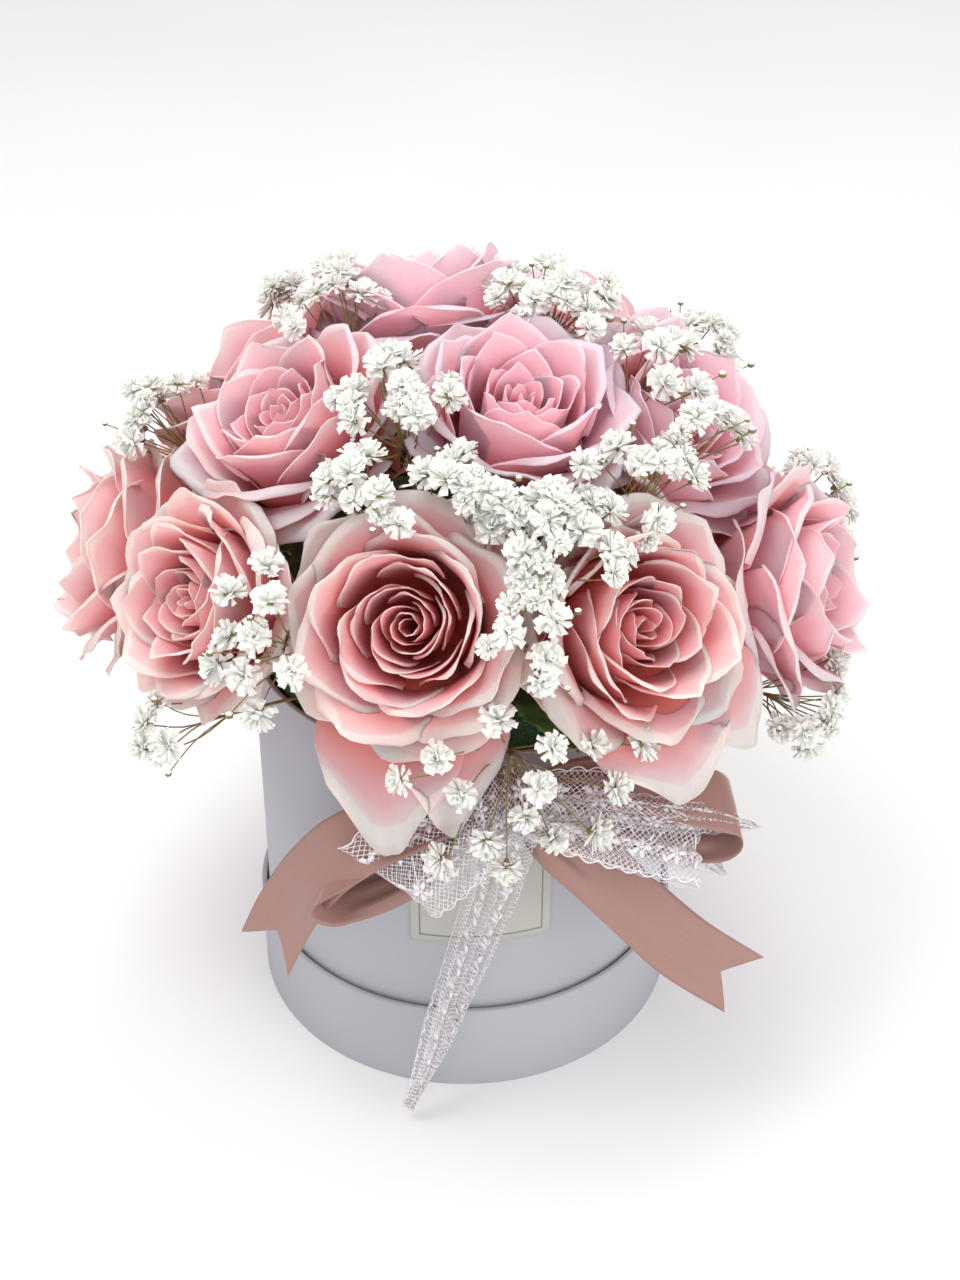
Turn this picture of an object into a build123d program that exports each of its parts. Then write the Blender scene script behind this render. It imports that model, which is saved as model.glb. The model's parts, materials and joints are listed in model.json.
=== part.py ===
"""A round gift box of roses: a paper-covered board box standing in its own upturned lid, a block of
floral foam in a plastic liner, sixteen cut roses, sprigs of baby's breath and a bow of satin and lace.

Millimetres, +Z up. The origin is the middle of the lid's outer face, which rests on the table, and the
front of the box, with the label and the bow, faces -Y. Azimuths run from the front towards +X and tilts
run from +Z.
"""

from build123d import *
import os
from math import cos, radians, sin, sqrt

os.makedirs("parts", exist_ok=True)

# --- Lid, turned over as a tray ---
LID_DIAMETER = 168.0
LID_HEIGHT = 40.0
BOARD = 1.6  # board of the lid band and of the box tube
LID_PANEL = 2.0
PAPER = 0.3  # covering paper, glued on
LID_TURN_IN = 12.0  # how far the lid's paper goes down inside its rim
LID_GAP = 1.0  # all round, between the lid's turned-in paper and the box

# --- Box ---
BOX_HEIGHT = 160.0
BASE_BOARD = 2.0
BOX_TURN_IN = 15.0

# --- Label ---
LABEL_WIDTH = 54.0
LABEL_HEIGHT = 75.0
LABEL_CARD = 0.35
LABEL_BELOW_RIM = 14.0  # from the box rim down to the label's upper edge

# --- Liner and foam ---
LINER_GAP = 0.6
LINER_WALL = 0.5
LINER_BELOW_RIM = 8.0
FOAM_GAP = 0.3  # between the foam and the liner's wall
FOAM_ABOVE_BOX = 26.0
FOAM_CHAMFER = 14.0

# --- Roses, on a dome ---
DOME_ABOVE_RIM = 8.0  # from the box rim to the middle of the dome
DOME_OVERHANG = 53.2  # how far the dome stands out beyond the box
DOME_RISE = 118.0
BLOOM_RADIUS = 35.6
BLOOM_LENGTH = 50.0
BLOOM_SEAT = 8.0
BLOOM_SHOULDER = 8.0  # from the face down to the widest place
HIP_LENGTH = 5.8
HIP_SWELL = 1.3
STEM_RADIUS = 2.6
STEM_REACH = 0.45  # share of the hip's distance from the axis where the stem ends
STEM_DEPTH = 12.0  # below the box rim, for a rose that looks level
STEM_DROP = 0.3
PETAL_SHEET = 1.2

# --- Baby's breath ---
BLOSSOM_RADIUS = 5.2
SPRIG_STEM_RADIUS = 0.8
PEDICEL_RADIUS = 0.35
PEDICEL_STEP = 0.9  # along the main stem, from one pedicel to the next
LIFT_STEP = 1.0
LIFT_TRIES = 22
SPRIG_DEPTH = 2.0  # below the box rim
SPRIG_REACH = 0.35
BLOSSOM_SEAT = 0.05
GOLDEN_ANGLE = 137.5
SPRIG_CLEARANCE = 0.4
SPRIG_CROWN = 9.0  # how much higher a sprig's middle sits than its edge
SPRIG_STAGGER = 3.0

# --- Bow ---
RIBBON_WIDTH = 26.0
LACE_WIDTH = 38.0
LACE_TAIL_WIDTH = 12.0
RIBBON_SHEET = 1.0
BOW_CLEARANCE = 0.3
KNOT_WIDTH = 22.0
KNOT_DEPTH = 18.0
KNOT_HEIGHT = 18.0
KNOT_OFFSET = 5.0  # the knot's middle, to the right of the box's middle
KNOT_BELOW_RIM = 7.0  # from the box rim to the knot's middle
KNOT_STANDOFF = 4.2  # glue between the box and the knot
GLUE_WIDTH = 14.0
GLUE_HEIGHT = 11.0
NOTCH_DEPTH = 15.0
UNDER_LACE_DEPTH = 1.0  # each layer's distance in front of the glue
SATIN_LOOP_DEPTH = 5.6
SATIN_TAIL_DEPTH = 9.1
LACE_LOOP_DEPTH = 13.6
LOOP_ROOT = 1.8
SATIN_SWELL = 3.0
LACE_SWELL = 2.6
LACE_OFF_LID = 9.0  # from the lid to the front tail's tip
LACE_FOOT_LEFT = 32.0  # how far the front tail's tip is left of the knot's middle

# How far each end is from the side of the knot, and how far it hangs below the knot's middle.
RIBBON_ENDS = {
    "satin_loop_left": (52.0, 38.0),
    "satin_loop_right": (72.0, 12.0),
    "satin_tail_left": (74.0, 66.0),
    "satin_tail_right": (81.0, 84.0),
    "lace_loop_left": (42.0, 30.0),
    "lace_loop_right": (58.0, 7.0),
    "lace_tail_lower": (68.0, 40.0),
    "lace_tail_upper": (81.0, 14.0),
}
RIGHT_TAIL_FORWARD = 9.0

# Worked out from the sizes above.
lid_radius = LID_DIAMETER / 2
lid_band_radius = lid_radius - PAPER
lid_inner_radius = lid_band_radius - BOARD
box_radius = lid_inner_radius - PAPER - LID_GAP
tube_radius = box_radius - PAPER
tube_inner_radius = tube_radius - BOARD
box_floor = LID_PANEL
box_rim = box_floor + BOX_HEIGHT
base_top = box_floor + BASE_BOARD
liner_radius = tube_inner_radius - PAPER - LINER_GAP
foam_radius = liner_radius - LINER_WALL - FOAM_GAP
foam_floor = base_top + LINER_WALL
foam_top = box_rim + FOAM_ABOVE_BOX
liner_height = BOX_HEIGHT - BASE_BOARD - LINER_BELOW_RIM
dome_radius = box_radius + DOME_OVERHANG
dome_centre = box_rim + DOME_ABOVE_RIM
stem_floor = box_rim - STEM_DEPTH
sprig_floor = box_rim - SPRIG_DEPTH
knot_front = box_radius + KNOT_STANDOFF
knot_centre = Vector(KNOT_OFFSET, -(knot_front + KNOT_DEPTH / 2), box_rim - KNOT_BELOW_RIM)

# Where each rose looks: azimuth and tilt, in degrees.
ROSES = {
    "front_left": (-15.0, 55.5),
    "front_right": (29.0, 59.5),
    "left": (-56.5, 64.5),
    "far_left": (-91.0, 75.5),
    "upper_left": (-76.0, 30.0),
    "top": (31.5, 17.0),
    "top_back": (-169.0, 27.5),
    "upper_right": (101.5, 50.0),
    "right": (70.5, 73.5),
    "back_left": (-122.5, 49.5),
    "back_right": (146.0, 50.5),
    "low_right": (102.5, 88.0),
    "low_back_right": (136.5, 88.0),
    "low_back": (169.5, 80.5),
    "low_back_left": (-157.0, 88.0),
    "low_left": (-123.5, 88.0),
}

# The two front roses also have a guard petal that hangs down to this tip, as seen from the rose's face.
GUARD_TIPS = {"front_left": Vector(-4.4, -6.3, -86.8), "front_right": Vector(10, -16, -58.9)}
GUARD_WIDTH = 50.0

# Each sprig: where it forks (azimuth, tilt, lift), its spread across and along the dome, the blossoms
# that it could carry, and how far above the fork they sit.
SPRIGS = {
    "centre_far_left": ((-25, 37, 3), (17, 15), 7, 7),
    "centre_left": ((-3, 36, 3), (19, 14), 7, 7),
    "centre": ((15, 43, 3), (20, 17), 9, 7),
    "centre_low": ((8, 54, 1), (12, 18), 6, 7),
    "centre_right": ((39, 39, 3), (20, 17), 9, 7),
    "centre_far_right": ((62, 38, 3), (16, 13), 6, 7),
    "upper_left": ((-30, 21, 3), (19, 19), 10, 7),
    "top_left": ((-121, 22, 3), (22, 12), 7, 7),
    "far_left": ((-99, 51, 3), (20, 15), 8, 7),
    "back_left": ((-145, 39, 3), (18, 12), 6, 7),
    "top_right": ((115, 16, 3), (26, 18), 12, 7),
    "upper_right": ((78, 29, 3), (20, 17), 9, 7),
    "far_right": ((124, 52, 3), (20, 15), 8, 7),
    "right": ((89, 72, 3), (12, 26), 8, 7),
    "low_right": ((61, 90, 0), (22, 15), 9, 6),
    "left": ((-37, 60, 3), (16, 32), 14, 6),
    "low_left": ((-51, 83, 0), (12, 9), 3, 7),
    "front": ((4, 80, -16), (34, 34), 22, 8),
    "back": ((178, 52, 3), (26, 20), 13, 7),
    "low_back": ((152, 70, 3), (22, 18), 10, 7),
}


def outward(azimuth, tilt):
    """The unit vector that looks along an azimuth and a tilt."""
    return Vector(
        sin(radians(tilt)) * sin(radians(azimuth)),
        -sin(radians(tilt)) * cos(radians(azimuth)),
        cos(radians(tilt)),
    )


def on_dome(azimuth, tilt, lift=0.0):
    """The point of the flower dome there, raised by lift."""
    way = outward(azimuth, tilt)
    across = dome_radius + lift
    return Vector(across * way.X, across * way.Y, dome_centre + (DOME_RISE + lift) * way.Z)


def rod_plane(start, end):
    """The plane at start that looks at end, and the distance between them."""
    return Plane(origin=start, z_dir=end - start), (end - start).length


def finish(piece, name):
    """Labels a finished piece and writes its STEP file."""
    piece.part.label = name
    export_step(piece.part, f"parts/{name}.step")


# ---------------------------------------------------------------- lid
with BuildPart() as lid_panel:
    Cylinder(lid_band_radius, LID_PANEL, align=(Align.CENTER, Align.CENTER, Align.MIN))
finish(lid_panel, "lid_panel")

with BuildPart() as lid_band:
    with BuildSketch(Plane.XY.offset(LID_PANEL)):
        Circle(lid_band_radius)
        Circle(lid_inner_radius, mode=Mode.SUBTRACT)
    extrude(amount=LID_HEIGHT - PAPER - LID_PANEL)
finish(lid_band, "lid_band")

with BuildPart() as lid_wrap:
    with BuildSketch(Plane.XZ):
        with BuildLine():
            Polyline(
                (lid_band_radius, 0),
                (lid_radius, 0),
                (lid_radius, LID_HEIGHT),
                (lid_inner_radius - PAPER, LID_HEIGHT),
                (lid_inner_radius - PAPER, LID_HEIGHT - LID_TURN_IN),
                (lid_inner_radius, LID_HEIGHT - LID_TURN_IN),
                (lid_inner_radius, LID_HEIGHT - PAPER),
                (lid_band_radius, LID_HEIGHT - PAPER),
                close=True,
            )
        make_face()
    revolve(axis=Axis.Z)
finish(lid_wrap, "lid_wrap")

# ---------------------------------------------------------------- box
with BuildPart() as box_tube:
    with BuildSketch(Plane.XY.offset(box_floor)):
        Circle(tube_radius)
        Circle(tube_inner_radius, mode=Mode.SUBTRACT)
    extrude(amount=BOX_HEIGHT - PAPER)
finish(box_tube, "box_tube")

with BuildPart() as box_base:
    with BuildSketch(Plane.XY.offset(box_floor)):
        Circle(tube_inner_radius)
    extrude(amount=BASE_BOARD)
finish(box_base, "box_base")

with BuildPart() as box_wrap:
    with BuildSketch(Plane.XZ):
        with BuildLine():
            Polyline(
                (tube_radius, box_floor),
                (box_radius, box_floor),
                (box_radius, box_rim),
                (tube_inner_radius - PAPER, box_rim),
                (tube_inner_radius - PAPER, box_rim - BOX_TURN_IN),
                (tube_inner_radius, box_rim - BOX_TURN_IN),
                (tube_inner_radius, box_rim - PAPER),
                (tube_radius, box_rim - PAPER),
                close=True,
            )
        make_face()
    revolve(axis=Axis.Z)
finish(box_wrap, "box_wrap")

with BuildPart() as label_card:
    with BuildSketch(Plane.XY.offset(box_rim - LABEL_BELOW_RIM - LABEL_HEIGHT)):
        Circle(box_radius + LABEL_CARD)
        Circle(box_radius, mode=Mode.SUBTRACT)
        with Locations((0, -box_radius)):
            Rectangle(LABEL_WIDTH, box_radius, mode=Mode.INTERSECT)
    extrude(amount=LABEL_HEIGHT)
finish(label_card, "label_card")

# ---------------------------------------------------------------- bow
with BuildPart() as bow_glue:
    with BuildSketch(Plane.XY.offset(knot_centre.Z - GLUE_HEIGHT / 2)):
        with Locations((KNOT_OFFSET, -knot_front)):
            Rectangle(GLUE_WIDTH, KNOT_STANDOFF + PAPER + BOARD, align=(Align.CENTER, Align.MIN))
        Circle(box_radius, mode=Mode.SUBTRACT)
    extrude(amount=GLUE_HEIGHT)
finish(bow_glue, "bow_glue")

with BuildPart(Plane(origin=knot_centre)) as satin_knot:
    Box(KNOT_WIDTH, KNOT_DEPTH, KNOT_HEIGHT)
    fillet(satin_knot.edges().filter_by(Axis.Z), radius=KNOT_DEPTH / 6)
finish(satin_knot, "satin_knot")


def bow_plane(start, end):
    """The ribbon's side view: X from start to end, Y towards the front, Z across its width."""
    along = (end - start).normalized()
    across = along.cross(Vector(0, -1, 0)).normalized()
    return Plane(origin=start, x_dir=along, z_dir=across), (end - start).length


def beside_knot(side):
    """The plane where the ribbons on one side of the knot begin: -1 is left and 1 is right."""
    edge = KNOT_OFFSET + side * (KNOT_WIDTH / 2 + BOW_CLEARANCE)
    return Plane(origin=(edge, 0, 0), z_dir=(side, 0, 0))


def loop(name, end, layer, width, root, swell):
    """A flattened loop of ribbon, narrow at the knot and round at its far end."""
    start = Vector(KNOT_OFFSET, layer, knot_centre.Z)
    plane, length = bow_plane(start, end)
    with BuildPart() as piece:
        with BuildSketch(plane):
            Circle(root)
            with Locations((length - swell, 0)):
                Circle(swell)
            make_hull()
        extrude(amount=width / 2, both=True)
        split(bisect_by=beside_knot(1 if end.X > KNOT_OFFSET else -1), keep=Keep.TOP)
    finish(piece, name)


def below_knot():
    """The plane under the knot where the front lace tail begins."""
    return Plane(origin=(0, 0, knot_centre.Z - KNOT_HEIGHT / 2 - BOW_CLEARANCE), z_dir=(0, 0, -1))


def tail(name, end, layer, width, bow, notch, edge):
    """A hanging end of ribbon that bows out by bow, with a swallowtail notch if notch isn't 0."""
    start = Vector(KNOT_OFFSET, layer, knot_centre.Z)
    plane, length = bow_plane(start, end)
    with BuildPart() as piece:
        with BuildSketch(plane):
            with BuildLine():
                near = ThreePointArc((0, 0), (length / 2, bow), (length, 0))
                far = ThreePointArc(
                    (0, RIBBON_SHEET), (length / 2, bow + RIBBON_SHEET), (length, RIBBON_SHEET)
                )
                Line(near @ 0, far @ 0)
                Line(near @ 1, far @ 1)
            make_face()
        extrude(amount=width / 2, both=True)
        if notch:
            with BuildSketch(Plane(origin=end, x_dir=plane.x_dir, z_dir=plane.y_dir)):
                with BuildLine():
                    Polyline((-notch, 0), (1, width / 2 - 1), (1, 1 - width / 2), close=True)
                make_face()
            extrude(amount=KNOT_DEPTH, both=True, mode=Mode.SUBTRACT)
        split(bisect_by=edge, keep=Keep.TOP)
    finish(piece, name)


def ribbon_end(name, layer):
    """Where a loop or a tail ends, at its layer's depth."""
    side = -1 if name.endswith("left") else 1
    reach, drop = RIBBON_ENDS[name]
    return Vector(KNOT_OFFSET + side * (KNOT_WIDTH / 2 + reach), layer, knot_centre.Z - drop)


# From the box outwards: an end of lace, the satin loops, the satin tails, then the rest of the lace.
under_layer = -(knot_front + UNDER_LACE_DEPTH)
satin_layer = -(knot_front + SATIN_LOOP_DEPTH)
tail_layer = -(knot_front + SATIN_TAIL_DEPTH)
lace_layer = -(knot_front + LACE_LOOP_DEPTH)
upper_layer = lace_layer - LACE_SWELL - BOW_CLEARANCE

for name in ("satin_loop_left", "satin_loop_right"):
    loop(name, ribbon_end(name, satin_layer), satin_layer, RIBBON_WIDTH, LOOP_ROOT, SATIN_SWELL)
for name in ("lace_loop_left", "lace_loop_right"):
    loop(name, ribbon_end(name, lace_layer), lace_layer, LACE_WIDTH, LOOP_ROOT, LACE_SWELL)

left_tip = ribbon_end("satin_tail_left", tail_layer)
right_tip = ribbon_end("satin_tail_right", tail_layer - RIGHT_TAIL_FORWARD)
tail("satin_tail_left", left_tip, tail_layer, RIBBON_WIDTH, 0.3, NOTCH_DEPTH, beside_knot(-1))
tail("satin_tail_right", right_tip, tail_layer, RIBBON_WIDTH, -4.0, NOTCH_DEPTH, beside_knot(1))

lower_tip = ribbon_end("lace_tail_lower", under_layer)
upper_tip = ribbon_end("lace_tail_upper", upper_layer)
lace_foot = Vector(
    KNOT_OFFSET - LACE_FOOT_LEFT, -(lid_radius + LACE_OFF_LID), LACE_TAIL_WIDTH / 2
)
tail("lace_tail_lower", lower_tip, under_layer, LACE_TAIL_WIDTH, 0.2, 0, beside_knot(1))
tail("lace_tail_upper", upper_tip, upper_layer, LACE_TAIL_WIDTH, 0.2, 0, beside_knot(1))
tail("lace_tail_front", lace_foot, upper_layer, LACE_TAIL_WIDTH, 3.0, 0, below_knot())

# ---------------------------------------------------------------- liner and foam
with BuildPart() as foam_liner:
    with BuildSketch(Plane.XY.offset(base_top)):
        Circle(liner_radius)
    extrude(amount=liner_height)
    with BuildSketch(Plane.XY.offset(foam_floor)):
        Circle(liner_radius - LINER_WALL)
    extrude(amount=liner_height, mode=Mode.SUBTRACT)
finish(foam_liner, "foam_liner")


def rose_stem(azimuth, tilt):
    """One cut stem, from the foam up to the hip under the bloom."""
    way = outward(azimuth, tilt)
    hip = on_dome(azimuth, tilt) - way * (BLOOM_LENGTH + HIP_LENGTH)
    foot_height = stem_floor - STEM_DROP * (hip.Z - dome_centre)
    foot = Vector(hip.X * STEM_REACH, hip.Y * STEM_REACH, foot_height)
    plane, length = rod_plane(foot, hip)
    with BuildPart() as stem:
        with BuildSketch(plane):
            Circle(STEM_RADIUS)
        extrude(amount=length + STEM_RADIUS)
        split(bisect_by=Plane(origin=hip, z_dir=way * -1), keep=Keep.TOP)
    return stem.part


def rose_hip(azimuth, tilt):
    """The green hip that carries one bloom on its stem."""
    way = outward(azimuth, tilt)
    base = on_dome(azimuth, tilt) - way * (BLOOM_LENGTH + HIP_LENGTH)
    with BuildPart(Plane(origin=base, z_dir=way)) as hip:
        Cone(
            HIP_SWELL * STEM_RADIUS,
            BLOOM_SEAT,
            HIP_LENGTH,
            align=(Align.CENTER, Align.CENTER, Align.MIN),
        )
    return hip.part


def sprig_stem(fork):
    """The plane, length and foot of a sprig's main stem."""
    foot = Vector(fork.X * SPRIG_REACH, fork.Y * SPRIG_REACH, sprig_floor)
    return rod_plane(foot, fork)


stems = [rose_stem(*place) for place in ROSES.values()]
rose_stems = Compound(children=stems, label="rose_stems")
export_step(rose_stems, "parts/rose_stems.step")

hips = [rose_hip(*place) for place in ROSES.values()]
rose_hips = Compound(children=hips, label="rose_hips")
export_step(rose_hips, "parts/rose_hips.step")

with BuildPart() as floral_foam:
    with BuildSketch(Plane.XY.offset(foam_floor)):
        Circle(foam_radius)
    extrude(amount=foam_top - foam_floor)
    chamfer(floral_foam.edges().group_by(Axis.Z)[-1], length=FOAM_CHAMFER)
    add(stems, mode=Mode.SUBTRACT)
    for place, _, _, _ in SPRIGS.values():
        plane, length = sprig_stem(on_dome(*place))
        with BuildSketch(plane):
            Circle(SPRIG_STEM_RADIUS)
        extrude(amount=length, mode=Mode.SUBTRACT)
finish(floral_foam, "floral_foam")

# ---------------------------------------------------------------- roses
def guard_petal(seat, tip):
    """A hanging outer petal, from under the bloom to its tip."""
    along = tip - seat
    sideways = along.cross(Vector(0, 0, 1)).normalized()
    with BuildPart() as petal:
        with BuildSketch(Plane(origin=seat + along / 2, x_dir=along, z_dir=along.cross(sideways))):
            Ellipse(along.length / 2, GUARD_WIDTH / 2)
        extrude(amount=PETAL_SHEET / 2, both=True)
    return petal.part


guard_petals = {
    name: guard_petal(
        on_dome(*ROSES[name]) - outward(*ROSES[name]) * (BLOOM_LENGTH - BLOOM_SEAT),
        on_dome(*ROSES[name]) + tip,
    )
    for name, tip in GUARD_TIPS.items()
}
for name, place in ROSES.items():
    face = Plane(origin=on_dome(*place), z_dir=outward(*place))
    with BuildPart() as bloom:
        with BuildSketch(Plane(origin=face.origin, x_dir=face.x_dir, z_dir=face.y_dir * -1)):
            with BuildLine():
                side = Spline(
                    (BLOOM_SEAT, -BLOOM_LENGTH),
                    (0.72 * BLOOM_RADIUS, -0.72 * BLOOM_LENGTH),
                    (0.96 * BLOOM_RADIUS, -0.40 * BLOOM_LENGTH),
                    (BLOOM_RADIUS, -BLOOM_SHOULDER),
                    tangents=[(1, 0.35), (0, 1)],
                )
                rim = ThreePointArc(
                    side @ 1,
                    (0.95 * BLOOM_RADIUS, -0.3 * BLOOM_SHOULDER),
                    (0.8 * BLOOM_RADIUS, 0),
                )
                Polyline(rim @ 1, (0, 0), (0, -BLOOM_LENGTH), side @ 0)
            make_face()
        revolve(axis=Axis(face.origin, face.z_dir))
        if name in guard_petals:
            add(guard_petals[name])
    finish(bloom, f"rose_{name}")

# ---------------------------------------------------------------- baby's breath
def clear_of_roses(point, margin):
    """Whether a ball of that radius, there, stays outside every bloom."""
    for place in ROSES.values():
        way = outward(*place)
        offset = point - on_dome(*place)
        height = offset.dot(way)
        off_axis = sqrt(max(offset.dot(offset) - height * height, 0))
        inside = -BLOOM_LENGTH - margin < height < margin
        if inside and off_axis < BLOOM_RADIUS + margin:
            return False
    return True


def off_rod(point, start, end):
    """How far a point is from the straight line between two others."""
    run = end - start
    share = min(max((point - start).dot(run) / run.dot(run), 0), 1)
    return (point - start - run * share).length


def clear_of_sprigs(start, blossom, placed):
    """Whether a pedicel and its blossom stay apart from the ones placed before."""
    apart = BLOSSOM_RADIUS + SPRIG_CLEARANCE
    for other_start, other in placed:
        if (other - blossom).length < apart + BLOSSOM_RADIUS:
            return False
        if off_rod(other, start, blossom) < apart + PEDICEL_RADIUS:
            return False
        if off_rod(blossom, other_start, other) < apart + PEDICEL_RADIUS:
            return False
    return True


def pedicels(place, spread, count, rise, placed):
    """The pedicels of one sprig, each from the main stem to a blossom, on a spiral over the dome."""
    azimuth, tilt, lift = place
    way = outward(azimuth, tilt)
    across = outward(azimuth + 90, 90)
    along = way.cross(across)
    fork = on_dome(azimuth, tilt, lift)
    down_stem = (sprig_stem(fork)[0].origin - fork).normalized()
    found = []
    for number in range(count):
        share = sqrt((number + 0.5) / count)
        turn = radians(number * GOLDEN_ANGLE)
        x = spread[0] * share * cos(turn)
        y = spread[1] * share * sin(turn)
        fall = (x * x + y * y) / (2 * dome_radius)
        height = rise - fall + SPRIG_CROWN * (1 - share) + SPRIG_STAGGER * (number % 2)
        blossom = fork + across * x + along * y + way * height
        for _ in range(LIFT_TRIES):
            if clear_of_roses(blossom, BLOSSOM_RADIUS + SPRIG_CLEARANCE):
                break
            blossom = blossom + way * LIFT_STEP
        start = fork + down_stem * (PEDICEL_STEP * (count - number))
        if clear_of_sprigs(start, blossom, placed + found):
            found.append((start, blossom))
    return found


placed = []
for name, (place, spread, count, rise) in SPRIGS.items():
    found = pedicels(place, spread, count, rise, placed)
    placed.extend(found)
    with BuildPart() as sprig:
        plane, length = sprig_stem(on_dome(*place))
        with BuildSketch(plane):
            Circle(SPRIG_STEM_RADIUS)
        extrude(amount=length)
        for start, blossom in found:
            plane, length = rod_plane(start, blossom)
            with BuildSketch(plane):
                Circle(PEDICEL_RADIUS)
            extrude(amount=length - BLOSSOM_RADIUS - BLOSSOM_SEAT)
        with Locations(*[blossom for _, blossom in found]):
            Sphere(BLOSSOM_RADIUS)
    finish(sprig, f"babys_breath_{name}")
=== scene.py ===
"""The flower box as it looks: covering paper, satin, lace, roses and baby's breath.

Shapes are modelled in millimetres and written to their meshes in metres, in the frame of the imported
model. The front of the box faces -Y.
"""

import json
import logging
import math
import random
from collections.abc import Callable, Iterable, Sequence
from dataclasses import dataclass, field
from enum import Enum

import bmesh
import bpy
from mathutils import Matrix, Vector, noise

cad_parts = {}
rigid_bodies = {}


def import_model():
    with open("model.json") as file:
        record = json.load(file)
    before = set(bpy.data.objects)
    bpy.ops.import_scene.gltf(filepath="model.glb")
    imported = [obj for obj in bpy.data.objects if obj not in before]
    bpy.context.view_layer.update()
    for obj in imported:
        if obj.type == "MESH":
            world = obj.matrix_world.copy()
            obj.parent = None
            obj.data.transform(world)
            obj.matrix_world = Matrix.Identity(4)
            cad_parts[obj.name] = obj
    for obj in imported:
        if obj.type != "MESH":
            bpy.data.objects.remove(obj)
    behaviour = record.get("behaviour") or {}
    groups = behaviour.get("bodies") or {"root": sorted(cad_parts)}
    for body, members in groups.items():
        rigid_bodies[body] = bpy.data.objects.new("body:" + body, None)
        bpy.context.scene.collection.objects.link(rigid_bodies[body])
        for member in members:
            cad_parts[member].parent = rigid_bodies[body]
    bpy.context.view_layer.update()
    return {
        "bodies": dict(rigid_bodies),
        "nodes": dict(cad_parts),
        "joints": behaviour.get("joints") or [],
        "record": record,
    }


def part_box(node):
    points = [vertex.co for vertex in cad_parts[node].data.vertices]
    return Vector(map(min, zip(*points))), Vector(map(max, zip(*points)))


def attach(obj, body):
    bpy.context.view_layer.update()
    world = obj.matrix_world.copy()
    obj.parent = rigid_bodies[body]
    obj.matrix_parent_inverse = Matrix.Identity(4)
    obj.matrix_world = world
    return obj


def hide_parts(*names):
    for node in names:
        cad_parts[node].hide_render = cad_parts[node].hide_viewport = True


log = logging.getLogger("flower_box")

METRES = 0.001
Colour = tuple[float, float, float]
Place = Callable[[float, float], Vector]


class Body(Enum):
    """The bodies that pieces ride on."""

    TRAY = "tray"
    BOX = "box"
    ARRANGEMENT = "arrangement"


class Slot(Enum):
    """The names of the material slots, one for each kind of new piece."""

    PETAL = "rose_petal"
    GREEN = "stem_green"
    BLOSSOM = "babys_breath"
    SATIN = "satin"
    LACE = "lace"
    PAPER = "box_paper"
    LABEL = "label"


class Hold(Enum):
    """How a sheet of cloth is held."""

    GATHERED = "gathered"
    HUNG = "hung"


# ---------------------------------------------------------------- small sums
def clamp(value: float, low: float = 0.0, high: float = 1.0) -> float:
    """The value, kept between two limits."""
    return max(low, min(high, value))


def ease(low: float, high: float, value: float) -> float:
    """A smooth step from 0 at low to 1 at high."""
    share = clamp((value - low) / (high - low))
    return share * share * (3.0 - 2.0 * share)


def blend(start: float, end: float, share: float) -> float:
    """The value that lies a share of the way from start to end."""
    return start + (end - start) * share


def bump(value: float, width: float) -> float:
    """A rounded bump of height 1 at 0 that dies away over a width."""
    return math.exp(-((value / width) ** 2))


def srgb(red: int, green: int, blue: int) -> Colour:
    """A colour given as screen values, in the linear light that shaders use."""

    def linear(channel: int) -> float:
        share = channel / 255.0
        return share / 12.92 if share <= 0.04045 else ((share + 0.055) / 1.055) ** 2.4

    return linear(red), linear(green), linear(blue)


def bezier(points: Sequence[Vector], share: float) -> Vector:
    """A point on a cubic Bezier curve.

    Args:
        points: The four control points.
        share: How far along the curve, from 0 to 1.

    Returns:
        The point.
    """
    rest = 1.0 - share
    return (
        points[0] * rest**3
        + points[1] * (3 * rest * rest * share)
        + points[2] * (3 * rest * share * share)
        + points[3] * share**3
    )


def through(points: Sequence[Vector], share: float) -> Vector:
    """A point on the smooth curve that passes through every given point.

    Args:
        points: Two or more points.
        share: How far along, from 0 at the first to 1 at the last.

    Returns:
        The point.
    """
    spans = len(points) - 1
    span = min(int(share * spans), spans - 1)
    local = share * spans - span
    before = points[span - 1] if span else points[0] * 2 - points[1]
    start, end = points[span], points[span + 1]
    after = points[span + 2] if span + 2 <= spans else end * 2 - start
    square, cube = local * local, local * local * local
    return 0.5 * (
        start * 2
        + (end - before) * local
        + (before * 2 - start * 5 + end * 4 - after) * square
        + (start * 3 - before - end * 3 + after) * cube
    )


def facing(origin: Vector, way: Vector, roll: float = 0.0) -> Matrix:
    """The frame at a point whose Z axis looks along a direction.

    Args:
        origin: The point.
        way: The direction.
        roll: A turn about that direction, in degrees.

    Returns:
        The frame as a matrix.
    """
    turn = way.to_track_quat("Z", "Y").to_matrix().to_4x4()
    return Matrix.Translation(origin) @ turn @ Matrix.Rotation(math.radians(roll), 4, "Z")


# ---------------------------------------------------------------- mesh work
def new_shape() -> bmesh.types.BMesh:
    """An empty mesh under construction, with a UV map."""
    shape = bmesh.new()
    shape.loops.layers.uv.new("UVMap")
    return shape


def add_sheet(
    shape: bmesh.types.BMesh, columns: int, rows: int, place: Place
) -> list[bmesh.types.BMVert]:
    """Adds a sheet of quads whose corners are set by a function.

    Args:
        shape: The mesh to add to.
        columns: Quads across.
        rows: Quads along.
        place: Gives the point for a place across, from -1 to 1, and along, from 0 to 1.

    Returns:
        The new corners.
    """
    grid = bmesh.ops.create_grid(
        shape, x_segments=columns, y_segments=rows, size=0.5, calc_uvs=True
    )
    for vertex in grid["verts"]:
        vertex.co = place(2 * vertex.co.x, vertex.co.y + 0.5)
    return grid["verts"]


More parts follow.
